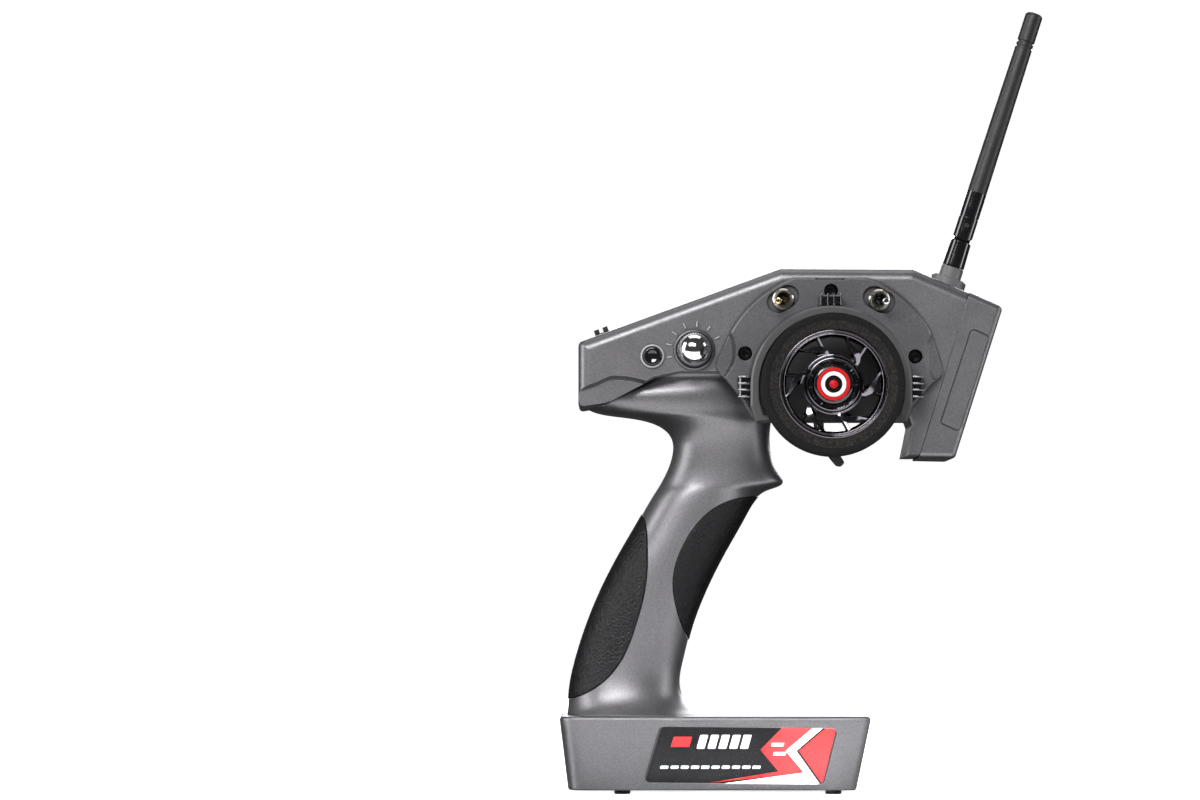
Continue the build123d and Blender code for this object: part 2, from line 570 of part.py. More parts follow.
def make_display_panel():
    body = slope_block(PANEL_U, 0, PANEL_LENGTH, PANEL_WIDTH, PANEL_TOP - PANEL_THICK, PANEL_TOP, 3.0)
    body = chamfer(body.faces().sort_by(slope_axis())[-1].edges(), 0.3)
    body -= slope_block(LENS_U, 0, LENS_LENGTH + 0.2, LENS_WIDTH + 0.2, PANEL_TOP - 0.9, 2, 1.6)
    body -= slope_block(LENS_U, 0, LENS_LENGTH - 3, LENS_WIDTH - 3, -4, 2)
    for v in KEY_STEPS:
        body -= slope_rod(KEY_U, v, KEY_RADIUS + 0.3, -5, 2)
    for v in TRIM_STEPS:
        body -= slope_block(TRIM_U, v, TRIM_LENGTH + 0.7, TRIM_WIDTH + 0.8, -5, 2, 0.8)
    return body


def slope_axis():
    plane = slope_plane()
    return Axis(plane.origin, plane.z_dir)


def make_display_lens():
    return slope_block(LENS_U, 0, LENS_LENGTH, LENS_WIDTH, PANEL_TOP - 0.9, PANEL_TOP - 0.05, 1.5)


def make_display_module():
    """Glass cell in a metal frame on its own small board, behind the lens."""
    body = slope_block(LENS_U, 0, LENS_LENGTH - 3.4, LENS_WIDTH - 3.4, -3.6, PANEL_TOP - 1.1)
    body += slope_block(LENS_U, 0, LENS_LENGTH + 1.0, LENS_WIDTH + 1.0, -5.2, -3.6)
    return body + slope_block(LENS_U, 0, 8, 20, -6.4, -5.2)


def make_key_cap(v):
    body = slope_rod(KEY_U, v, KEY_RADIUS, -3.7, -0.2)
    body = fillet(body.faces().sort_by(slope_axis())[-1].edges(), 0.5)
    return body + slope_rod(KEY_U, v, KEY_RADIUS + 0.7, -4.4, -3.3)


def make_trim_rocker(v):
    body = slope_block(TRIM_U, v, TRIM_LENGTH, TRIM_WIDTH, -3.6, -0.1, 0.8)
    body = fillet(body.faces().sort_by(slope_axis())[-1].edges(), 0.6)
    scoop = Plane(slope_plane(TRIM_U, v, 1.9).origin, x_dir=(0, 1, 0), z_dir=slope_plane().x_dir)
    body -= extrude(scoop * Circle(2.6), 6, both=True)
    pivot = Plane(origin=slope_plane(TRIM_U, v, -3.6).origin, z_dir=slope_plane().x_dir)
    return body + extrude(pivot * Circle(1.0), TRIM_LENGTH / 2, both=True)


def make_key_board():
    """Board below the keys and trims with a low switch under each."""
    body = slope_block(-5.8, 0, 21.0, 37.0, -7.8, -6.2, 1.0)
    for v in KEY_STEPS:
        body += slope_rod(KEY_U, v, 2.2, -6.2, -5.4)
    for v in TRIM_STEPS:
        for end in (-5.2, 5.2):
            body += slope_rod(TRIM_U, v + end, 1.2, -6.2, -5.0)
        body += slope_block(TRIM_U, v, TRIM_LENGTH, 1.6, -6.2, -4.7)
    return body


def make_power_frame():
    body = slope_block(POWER_U, 0, 15.0, 8.0, -0.6, 0.5, 1.5)
    body -= slope_block(POWER_U, 0, 9.8, 4.4, -2, 2, 0.6)
    body += slope_block(POWER_U, 0, 10.8, 5.2, -6.5, -1.6)
    body += slope_block(POWER_U, 0, 10.8, 5.2, -1.6, -0.6) - slope_block(POWER_U, 0, 9.8, 4.4, -2, 2, 0.6)
    return chamfer(body.faces().sort_by(slope_axis())[-1].outer_wire().edges(), 0.25)


def make_power_slider():
    """A small thumb slider with two cross ridges, at the rear end of its travel."""
    u = POWER_U - POWER_TRAVEL / 2
    body = slope_block(u, 0, 5.9, 4.2, -1.5, 1.4)
    for step in (-1.8, 1.8):
        body += slope_block(u + step, 0, 2.0, 4.2, 1.2, 3.2)
    return body


# ---- Antenna ---------------------------------------------------------------------------------------------
def antenna_plane(t):
    """Plane across the antenna's axis, t millimetres above the fold pin."""
    lean = math.radians(ANTENNA_LEAN)
    axis = Vector(math.sin(lean), 0, math.cos(lean))
    origin = Vector(ANTENNA_PIN[0], 0, ANTENNA_PIN[1]) + axis * t
    return Plane(origin=origin, x_dir=(math.cos(lean), 0, -math.sin(lean)), z_dir=axis)


def antenna_rod(low, high, radius):
    return extrude(antenna_plane(low) * Circle(radius), high - low)


def antenna_cone(low, high, radius_low, radius_high):
    return antenna_plane((low + high) / 2) * Cone(radius_low, radius_high, high - low)


COLLAR_T = (-29.5, -21.9, -17.6)
KNUCKLE_T = (-17.3, -6.45)
FOLD_ROUND = 6.0
TONGUE_RADIUS, SLOT_TOP = 3.3, 3.8
HINGE_TOP, MAST_GROOVE, MAST_TIP = 14.0, 75.0, 89.8


def make_antenna_collar():
    body = antenna_rod(COLLAR_T[0], COLLAR_T[1], 7.1)
    body = chamfer(body.faces().sort_by(Axis.Z)[-1].edges(), 0.6)
    body += antenna_rod(COLLAR_T[1] - 1, COLLAR_T[2], 4.5)
    body -= slab(outline([(30, 190), (30, 213.24), TOP_FRONT, SEAM_TOP, (90, 187.9), (90, 180)]), 20, -20)
    body += antenna_rod(-31.5, COLLAR_T[2] - 3, 4.1)
    return body - antenna_rod(-40, 0, 2.9)


def make_antenna_knuckle():
    """The swivelling root of the antenna with the tongue the mast folds on."""
    body = antenna_cone(KNUCKLE_T[0], KNUCKLE_T[1], 4.45, 4.1)
    body = chamfer(body.edges().filter_by(GeomType.CIRCLE), 0.35)
    body += antenna_rod(-33.0, KNUCKLE_T[0] + 0.5, 2.6)
    tongue = Plane.XZ * (Circle(TONGUE_RADIUS) + Pos(0, -5) * Rectangle(2 * TONGUE_RADIUS, 10))
    body += antenna_plane(0) * extrude(tongue, 1.4, both=True)
    return body - rod(*ANTENNA_PIN, ANTENNA_PIN_RADIUS + RUNNING_CLEARANCE, 10, -10)


def make_antenna_hinge():
    """The fork at the mast's foot, rounded below so that it clears the knuckle as it folds."""
    body = antenna_rod(-FOLD_ROUND - 1, HINGE_TOP, 4.2)
    round_end = Plane.XZ * (Circle(FOLD_ROUND) + Pos(0, 15) * Rectangle(20, 30))
    body &= antenna_plane(0) * extrude(round_end, 10, both=True)
    slot = Plane.XZ * Pos(0, SLOT_TOP - 10) * Rectangle(30, 20)
    body -= antenna_plane(0) * extrude(slot, 1.65, both=True)
    body -= antenna_plane(3.2) * Pos(0, 0, 10) * (Cylinder(8, 20) - Cylinder(3.95, 20))
    return body - rod(*ANTENNA_PIN, ANTENNA_PIN_RADIUS, 10, -10)


def make_antenna_pin():
    return rod(*ANTENNA_PIN, ANTENNA_PIN_RADIUS, 4.1, -4.1)


def make_antenna_mast():
    body = antenna_cone(HINGE_TOP, MAST_GROOVE, 3.9, 3.5)
    body += antenna_rod(MAST_GROOVE - 0.1, MAST_GROOVE + 3.0, 3.0)
    body += antenna_rod(MAST_GROOVE + 1.0, MAST_GROOVE + 2.0, 3.45)
    return body


def make_antenna_tip():
    body = antenna_rod(MAST_GROOVE + 3.0, MAST_TIP, 3.55)
    return fillet(body.faces().sort_by(Axis.Z)[-1].edges(), 1.6)


# ---- Trigger ---------------------------------------------------------------------------------------------
TRIGGER_OUTLINE = [
    (5.6, 153.2), (5.5, 148.0), (6.1, 144.0), (7.6, 139.8), (9.9, 135.9), (12.4, 132.6), (14.6, 130.0),
    (16.6, 129.6), (17.7, 131.2), (15.9, 134.0), (13.0, 137.6), (10.9, 141.2), (9.5, 144.9), (9.4, 147.6),
    (11.5, 149.6), (17.0, 150.3), (23.6, 149.6), (28.2, 147.9), (30.8, 144.6), (32.6, 143.0), (34.6, 143.5),
    (35.7, 146.0), (35.0, 152.8), (29.5, 157.0), (18.5, 157.0), (11.0, 155.8),
]


def make_trigger():
    body = slab(outline(TRIGGER_OUTLINE, 0.9), TRIGGER_HALF, -TRIGGER_HALF)
    body = fillet([e for e in body.edges() if abs(abs(e.center().Y) - TRIGGER_HALF) < 0.01], 0.6)
    body += rod(*TRIGGER_PIVOT, 6.3, TRIGGER_HALF - 0.3, -TRIGGER_HALF + 0.3)
    return body - rod(*TRIGGER_PIVOT, TRIGGER_PIN_RADIUS + RUNNING_CLEARANCE, 20, -20)


def make_trigger_bracket():
    """Two cheeks on the bay's ceiling, either side of the trigger's hub, and the pin between them."""
    low = BAY_CEILING + HEAD_WALL
    cheek = outline([(17.5, low), (30.5, low), (30.5, 163.0), (27.0, 166.4), (21.0, 166.4), (17.5, 163.0)])
    pin = rod(*TRIGGER_PIVOT, TRIGGER_PIN_RADIUS, 16.0, -15.4)
    return slab(cheek, -7.6, -9.6) + slab(cheek, 9.6, 7.6) + pin


def make_trigger_potentiometer():
    body = rod(*TRIGGER_PIVOT, 6.1, 19.0, 9.8)
    body += box_between((29, 12, 157), (34, 17, 163))
    return body - rod(*TRIGGER_PIVOT, TRIGGER_PIN_RADIUS, 16.0, 5)


def make_trigger_spring():
    return coil(2.9, 0.4, 4, 1.0, (TRIGGER_PIVOT[0], -14.6, TRIGGER_PIVOT[1]), (0, 1, 0))


# ---- Grip ------------------------------------------------------------------------------------------------
# Level sections of the grip: height, rear x, front x, half thickness.
GRIP_SECTIONS = [
    (30.6, -92.9, -33.0, 27.0), (32.4, -92.8, -39.6, 23.8), (36.0, -92.4, -45.4, 20.6),
    (42.0, -91.8, -48.0, 18.6), (52.0, -89.7, -46.8, 17.5), (66.0, -85.3, -43.2, 17.2),
    (80.0, -79.6, -37.8, 17.2), (95.0, -71.9, -30.3, 17.0), (109.0, -63.8, -22.4, 16.8),
    (116.5, -59.5, -17.8, 16.8), (120.0, -57.3, -13.2, 16.8), (122.8, -55.6, -7.0, 16.8),
    (125.2, -54.3, -7.0, 16.7), (129.0, -52.5, -9.3, 16.6), (134.0, -51.0, -11.2, 16.8),
    (139.0, -50.8, -12.0, 17.4), (143.0, -52.8, -12.0, 18.3), (146.0, -57.0, -11.7, 19.4),
    (148.2, -64.0, -11.5, 20.3), (149.4, -72.0, -11.5, 20.8), (150.6, -80.0, -11.6, 21.2),
    (152.0, -84.0, -11.8, 21.6), (160.0, -84.4, -12.0, 22.0), (167.0, -84.4, -12.0, 22.0),
]
SECTION_POINTS = 16
SEAM_STEP = 2  # where each section starts, off the parting plane
SECTION_POWER = 2.3
REAR_PAD_EDGE = [
    (-66.0, 114.5), (-62.5, 109.6), (-60.9, 98.5), (-60.9, 89.8), (-61.9, 79.9), (-66.0, 64.8), (-70.7, 53.1),
    (-76.5, 45.5), (-82.3, 40.9), (-88.2, 38.0), (-99.0, 36.0),
]
FRONT_PAD_EDGE = [
    (-9.0, 118.6), (-16.8, 117.8), (-26.7, 116.3), (-34.8, 112.7), (-41.9, 106.1), (-47.0, 98.0),
    (-50.1, 89.9), (-51.1, 82.8), (-50.1, 74.7), (-48.0, 67.6), (-45.0, 61.0), (-38.0, 50.5),
]


def grip_section(height, rear, front, half, inset):
    """A closed rounded section, squarer than an ellipse."""
    middle = (rear + front) / 2
    points = []
    for step in range(SECTION_POINTS):
        turn = 2 * math.pi * (step + SEAM_STEP) / SECTION_POINTS
        c, s = math.cos(turn), math.sin(turn)
        reach = (front - middle if c > 0 else middle - rear) - inset
        x = middle + reach * math.copysign(abs(c) ** (2 / SECTION_POWER), c)
        y = (half - inset) * math.copysign(abs(s) ** (2 / SECTION_POWER), s)
        points.append(Vector(x, y, height))
    return Wire([Edge.make_spline(points, periodic=True)])


def grip_loft(inset):
    return Solid.make_loft([grip_section(*section, inset) for section in GRIP_SECTIONS], False)


def pad_region(edge, far_x):
    """The side-view area of a pad, between its curved edge and a line beyond the grip."""
    curve = Spline(*edge)
    close = Polyline(edge[-1], (far_x, edge[-1][1]), (far_x, edge[0][1]), edge[0])
    return make_face([curve, close])


GRIP_BOSSES = [(-28.0, 143.0), (-56.0, 60.0)]
GRIP_COUNTERBORE_Y = 13.0


def make_grip():
    skin = grip_loft(0)
    core = grip_loft(GRIP_WALL)
    below_seat = grip_loft(PAD_DEPTH)
    proud = grip_loft(-PAD_PROUD)
    head = slab(outline(HEAD_OUTLINE), 40, -40)
    shell = skin - core
    pads = []
    for edge, far_x in ((REAR_PAD_EDGE, -105.0), (FRONT_PAD_EDGE, 5.0)):
        seat = slab(pad_region(edge, far_x), 40, -40)
        shell -= (skin - below_seat) & seat
        away = math.copysign(PAD_GAP, far_x - edge[0][0])
        pads.append((proud & Pos(away, 0, -away * 0.6) * seat) - below_seat)
    for x, z in GRIP_BOSSES:
        shell += rod(x, z, BOSS_RADIUS, 40, -40) & core
    shell -= head
    shell -= box_between((-120, -50, 167), (20, 50, 180))
    shell -= box_between((-120, -50, 0), (20, 50, BASE_TOP))
    for x, z in GRIP_BOSSES:
        shell -= rod(x, z, COUNTERBORE_RADIUS, 30, GRIP_COUNTERBORE_Y)
        shell -= rod(x, z, SCREW_RADIUS, 30, -10)
    return side_half(shell, -1), side_half(shell, 1), pads[0], pads[1]


# ---- Base ------------------------------------------------------------------------------------------------
BASE_TOP_X, BASE_BOTTOM_X = (-95.9, 26.9), (-92.3, 20.8)
BASE_HALF = 37.5
DOOR_X, DOOR_BACK, DOOR_GAP = (-66.0, -5.0), -30.5, 0.3
FEET = [(-71.0, -30.0), (12.1, -30.0), (-71.0, 30.0), (12.1, 30.0)]
LABEL = [(-63.0, 4.7), (-56.5, 26.6), (13.8, 25.9), (8.2, 4.0)]
BASE_SCREWS = [(-82.0, -26.0), (-82.0, 26.0), (3.0, -26.0), (3.0, 26.0)]


def base_outline(x_range, half, inset=0.0):
    low, high = x_range[0] + inset, x_range[1] - inset
    face = Pos((low + high) / 2, 0) * Rectangle(high - low, 2 * (half - inset))
    rear = face.vertices().sort_by(Axis.X)[:2]
    face = fillet(rear, 8.0 - inset)
    front = face.vertices().sort_by(Axis.X)[-2:]
    return fillet(front, 2.4 - inset * 0.6)


def base_block(inset, low, high):
    """The base's tapering body between two heights, shrunk by inset."""
    def at(z):
        k = (z - BASE_BOTTOM) / (BASE_TOP - BASE_BOTTOM)
        return (BASE_BOTTOM_X[0] + k * (BASE_TOP_X[0] - BASE_BOTTOM_X[0]),
                BASE_BOTTOM_X[1] + k * (BASE_TOP_X[1] - BASE_BOTTOM_X[1]))
    return loft([Pos(0, 0, low) * base_outline(at(low), BASE_HALF, inset),
                 Pos(0, 0, high) * base_outline(at(high), BASE_HALF, inset)])


def make_base_shell():
    body = base_block(0, BASE_BOTTOM, BASE_TOP)
    body = fillet(body.faces().sort_by(Axis.Z)[-1].edges(), 1.4)
    body = chamfer(body.faces().sort_by(Axis.Z)[0].edges(), 0.6)
    body -= base_block(BASE_WALL, 0, BASE_TOP - BASE_WALL)
    for x, y in BASE_SCREWS:
        body += Pos(x, y, (4.0 + BASE_TOP - 1) / 2) * Cylinder(3.4, BASE_TOP - 5.0)
        body -= Pos(x, y, 8) * Cylinder(SCREW_RADIUS, 14)
    body -= Pos(-70, 0, BASE_TOP) * Cylinder(11, 10)
    body -= box_between((DOOR_X[0], 0, 0), (DOOR_X[1], 50, 3.95))
    return body - slab(outline(LABEL, 2.2), -BASE_HALF + 0.8, -BASE_HALF - 1)


def make_base_label():
    return slab(offset(outline(LABEL, 2.2), -0.1), -BASE_HALF + 0.8, -BASE_HALF + 0.3)


def make_base_plate():
    """Floor of the base with the battery bay's opening, running out under the left wall."""
    body = base_block(BASE_WALL + 0.1, BASE_BOTTOM, 4.0 - 0.05)
    body -= box_between((DOOR_X[0], DOOR_BACK, 0), (DOOR_X[1], 50, 10))
    for x, y in BASE_SCREWS:
        body -= Pos(x, y, 0) * Cylinder(1.3, 20)
        body -= Pos(x, y, BASE_BOTTOM) * Cylinder(2.5, 3.0)
    return body


def make_feet():
    feet = []
    for x, y in FEET:
        foot = Pos(x, y, BASE_BOTTOM / 2) * Cylinder(3.2, BASE_BOTTOM)
        feet.append(chamfer(foot.faces().sort_by(Axis.Z)[0].edges(), 0.3))
    return feet


def make_battery_door():
    """Sliding floor hatch with a ribbed thumb patch; it leaves towards +Y."""
    low = (DOOR_X[0] + DOOR_GAP, DOOR_BACK + DOOR_GAP, BASE_BOTTOM + 0.1)
    body = box_between(low, (DOOR_X[1] - DOOR_GAP, BASE_HALF - 0.2, 3.6))
    body = chamfer(body.faces().sort_by(Axis.Z)[0].edges(), 0.5)
    for step in range(6):
        body -= box_between((-46, 20 + 2.2 * step, 0), (-25, 21.1 + 2.2 * step, BASE_BOTTOM + 0.6))
    return body


def make_battery_tray():
    """Open-bottomed tray for four cells lying across the base."""
    body = box_between((DOOR_X[0] - 1.5, -31.5, 4.1), (DOOR_X[1] + 1.5, 31.5, 21.5))
    body -= box_between((DOOR_X[0] + 0.5, -29.5, 0), (DOOR_X[1] - 0.5, 29.5, 19.6))
    return body


CELL_RADIUS, CELL_LENGTH, CELL_PITCH = 7.1, 50.4, 14.8


def make_cells():
    cells = []
    for index in range(4):
        x = (DOOR_X[0] + DOOR_X[1]) / 2 + (index - 1.5) * CELL_PITCH
        flip = 1 if index % 2 else -1
        cell = Pos(x, 0, 11.9) * Rot(90, 0, 0) * Cylinder(CELL_RADIUS, CELL_LENGTH - 1.6)
        cell = chamfer(cell.edges().filter_by(GeomType.CIRCLE), 0.6)
        cells.append(cell + Pos(x, flip * (CELL_LENGTH / 2 - 0.6), 11.9) * Rot(90, 0, 0) * Cylinder(2.7, 1.6))
    return cells


def make_contacts():
    """Spring plates at both ends of each cell."""
    plates = []
    for index in range(4):
        x = (DOOR_X[0] + DOOR_X[1]) / 2 + (index - 1.5) * CELL_PITCH
        for side in (-1, 1):
            plate = box_between((x - 5.5, -0.4, 6.5), (x + 5.5, 0.4, 17.5))
            bulge = box_between((x - 2.4, min(0, -1.6 * side), 9.5), (x + 2.4, max(0, -1.6 * side), 14.3))
            plates.append(Pos(0, side * 28.8, 0) * (plate + bulge))
    return plates


def make_case_screws():
    """Screws that close the two halves from the left side."""
    places = [(x, HEAD_HALF - COUNTERBORE_DEPTH, z, 20.0) for x, z in HEAD_BOSSES]
    places += [(x, GRIP_COUNTERBORE_Y, z, 16.0) for x, z in GRIP_BOSSES]
    screws = []
    for x, y, z, length in places:
        seat = Plane(origin=(x, y, z), x_dir=(-1, 0, 0), z_dir=(0, 1, 0))
        screws.append(seat * screw(2.7, SCREW_RADIUS, 1.8, length, 1.1))
    return screws


def make_plate_screws():
    screws = []
    for x, z in PLATE_SCREWS:
        seat = Plane(origin=(x, PLATE_FRONT + PLATE_SCREW_SINK, z), z_dir=(0, -1, 0))
        screws.append(seat * screw(2.6, SCREW_RADIUS, 1.9, 7.0, 1.25))
    return screws


def make_base_screws():
    screws = []
    for x, y in BASE_SCREWS:
        seat = Plane(origin=(x, y, BASE_BOTTOM + 1.5), z_dir=(0, 0, -1))
        screws.append(seat * screw(2.3, SCREW_RADIUS, 1.3, 8.0, 1.0))
    return screws


# ---- Electronics -----------------------------------------------------------------------------------------
def make_main_board():
    body = slab(outline([(-58, 169.5), (36, 169.5), (36, 199.0), (-6.0, 196.5), (-58, 177.5)]), 15.6, 14.0)
    body += box_between((-30, 15.6, 173), (-18, 17.2, 185))
    body += box_between((-46, 15.6, 172), (-38, 16.8, 178))
    return body + box_between((-40, 8, 170), (-28, 14, 174))


def make_radio_module():
    body = box_between((2, 15.7, 174), (28, 19.0, 196))
    return body + rod(32, 190, 1.4, 18.0, 15.6)


def make_battery_lead():
    """Two insulated wires from the battery tray up through the grip to the main board."""
    wires = []
    for side in (-1, 1):
        y = 2.2 * side
        path = Spline((-71, y, 22.5), (-72, y, 40), (-62, y, 75), (-45, y, 115), (-38, 3 + y, 150),
                      (-35, 9 + 1.6 * side, 169.5))
        wires.append(sweep(Plane(origin=path @ 0, z_dir=path % 0) * Circle(0.8), path=path))
    return wires


def main():
    os.makedirs("parts", exist_ok=True)
    head_right, head_left = make_head(make_plate_opening())
    save("head_shell_right", head_right)
    save("head_shell_left", head_left)
    save("front_cover", make_front_cover())
    save("steering_plate", make_steering_plate())
    save("steering_collar", make_collar())
    save("collar_clips", *make_clips())
    save("plate_screws", *make_plate_screws())
    save("steering_bearings", *make_bearings())
    save("steering_potentiometer", make_steering_potentiometer())
    save("steering_spring", make_steering_spring())
    save("wheel_rim", make_wheel_rim())
    save("wheel_tyre", make_wheel_tyre())
    save("wheel_cap", make_wheel_cap())
    save("wheel_shaft", make_wheel_shaft(), make_wheel_screw())
    save("toggle_bodies", *[make_toggle_body(x, z, lean) for x, z, lean, _ in TOGGLES])
    save("toggle_nuts", *[make_toggle_nut(x, z, lean) for x, z, lean, _ in TOGGLES])
    for name, toggle in zip(("rear", "front"), TOGGLES):
        save(f"toggle_lever_{name}", make_toggle_lever(*toggle))
    save("knob_ring", make_knob_ring())
    save("knob_cap", make_knob_cap() + make_knob_shaft())
    save("button_bezel", make_button_bezel())
    save("button_cap", make_button_cap())
    save("side_controls", make_knob_potentiometer(), make_button_switch())
    save("display_panel", make_display_panel())
    save("display_lens", make_display_lens())
    save("display_board", make_display_module(), make_key_board())
    for index, v in enumerate(KEY_STEPS):
        save(f"key_{index + 1}", make_key_cap(v))
    for index, v in enumerate(TRIM_STEPS):
        save(f"trim_rocker_{index + 1}", make_trim_rocker(v))
    save("power_frame", make_power_frame())
    save("power_slider", make_power_slider())
    save("antenna_collar", make_antenna_collar())
    save("antenna_knuckle", make_antenna_knuckle())
    save("antenna_hinge", make_antenna_hinge())
    save("antenna_pin", make_antenna_pin())
    save("antenna_mast", make_antenna_mast())
    save("antenna_tip", make_antenna_tip())
    save("trigger", make_trigger())
    save("trigger_bracket", make_trigger_bracket())
    save("trigger_potentiometer", make_trigger_potentiometer())
    save("trigger_spring", make_trigger_spring())
    grip_right, grip_left, rear_pad, front_pad = make_grip()
    save("grip_shell_right", grip_right)
    save("grip_shell_left", grip_left)
    save("grip_pad_rear", rear_pad)
    save("grip_pad_front", front_pad)
    save("base_shell", make_base_shell())
    save("base_label", make_base_label())
    save("base_plate", make_base_plate())
    save("base_feet", *make_feet())
    save("battery_door", make_battery_door())
    save("battery_tray", make_battery_tray())
    save("battery_cells", *make_cells())
    save("battery_contacts", *make_contacts())
    save("battery_lead", *make_battery_lead())
    save("case_screws", *make_case_screws(), *make_base_screws())
    save("main_board", make_main_board(), make_radio_module())


main()
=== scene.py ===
"""Looks of the pistol-grip radio transmitter controller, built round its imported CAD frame, in metres."""

import json
import math

import bmesh
import bpy
from mathutils import Matrix, Vector, noise


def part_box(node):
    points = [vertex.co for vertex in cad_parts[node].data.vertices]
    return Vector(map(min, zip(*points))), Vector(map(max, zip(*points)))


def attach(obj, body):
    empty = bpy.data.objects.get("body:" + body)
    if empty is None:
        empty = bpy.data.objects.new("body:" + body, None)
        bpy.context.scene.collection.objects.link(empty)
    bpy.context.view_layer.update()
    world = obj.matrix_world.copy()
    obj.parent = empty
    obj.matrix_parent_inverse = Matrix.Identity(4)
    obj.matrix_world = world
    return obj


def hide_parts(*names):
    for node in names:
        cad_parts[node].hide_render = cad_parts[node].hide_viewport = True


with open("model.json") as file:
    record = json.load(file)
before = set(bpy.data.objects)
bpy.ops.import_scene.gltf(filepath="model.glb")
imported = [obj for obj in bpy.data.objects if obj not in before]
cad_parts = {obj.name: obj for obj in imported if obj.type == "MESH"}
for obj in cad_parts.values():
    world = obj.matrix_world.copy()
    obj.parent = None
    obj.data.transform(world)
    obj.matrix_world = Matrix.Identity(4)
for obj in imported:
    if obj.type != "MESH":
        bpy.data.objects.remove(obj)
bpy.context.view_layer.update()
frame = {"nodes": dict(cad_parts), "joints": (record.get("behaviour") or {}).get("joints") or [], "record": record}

MM = 0.001
FRONT = Vector((0, -1, 0))  # the side with the wheel
scene = bpy.context.scene
nodes = frame["nodes"]
record = frame["record"]


# ---- Places taken from the frame -----------------------------------------------------------------
def middle(node):
    low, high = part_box(node)
    return (low + high) / 2


def joint(name):
    return next(j for j in frame["joints"] if j["name"] == name)


# ---- Camera --------------------------------------------------------------------------------------
VIEW_DISTANCE = 2.2
VIEW_WIDTH = 0.480  # what the frame's width covers at the object's middle plane
SENSOR = 36.0
EYE_OFFSET = 0.0238  # the eye, to the right of the base's left end
EYE_HEIGHT = 0.0763
AIM_OFFSET = 0.008  # the aim, to the left of the eye
AIM_HEIGHT = 0.1563
FAR_CLIP = 100


def make_camera():
    """Level with the base, looking along +Y and a little up."""
    base_left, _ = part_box("base_shell")
    plane_y = middle("antenna_mast").y
    eye = Vector((base_left.x + EYE_OFFSET, plane_y - VIEW_DISTANCE, EYE_HEIGHT))
    aim = Vector((eye.x - AIM_OFFSET, plane_y, AIM_HEIGHT))
    data = bpy.data.cameras.new("camera")
    data.sensor_width = SENSOR
    data.lens = SENSOR * VIEW_DISTANCE / VIEW_WIDTH
    data.clip_end = FAR_CLIP
    camera = bpy.data.objects.new("camera", data)
    camera.location = eye
    camera.rotation_euler = (aim - eye).to_track_quat("-Z", "Y").to_euler()
    scene.collection.objects.link(camera)
    scene.camera = camera


# ---- Materials -----------------------------------------------------------------------------------
# Painted light in the paint's colour: a paler colour on rounded edge bands is a painted highlight, and a darker
# colour in gaps is painted shade.
PAINTED_HIGHLIGHT_EDGE_TURN = (0.97, 0.80)  # how far a rounded edge's normal turns (cosine) before it counts as an edge
PAINTED_SHADE_GAP_RANGE = (0.88, 0.36)  # the open share of the surroundings at which a gap starts to darken, and ends
PAINTED_SHADE_GAP_SAMPLES = 8
NOISE_ROUGHNESS = 0.55


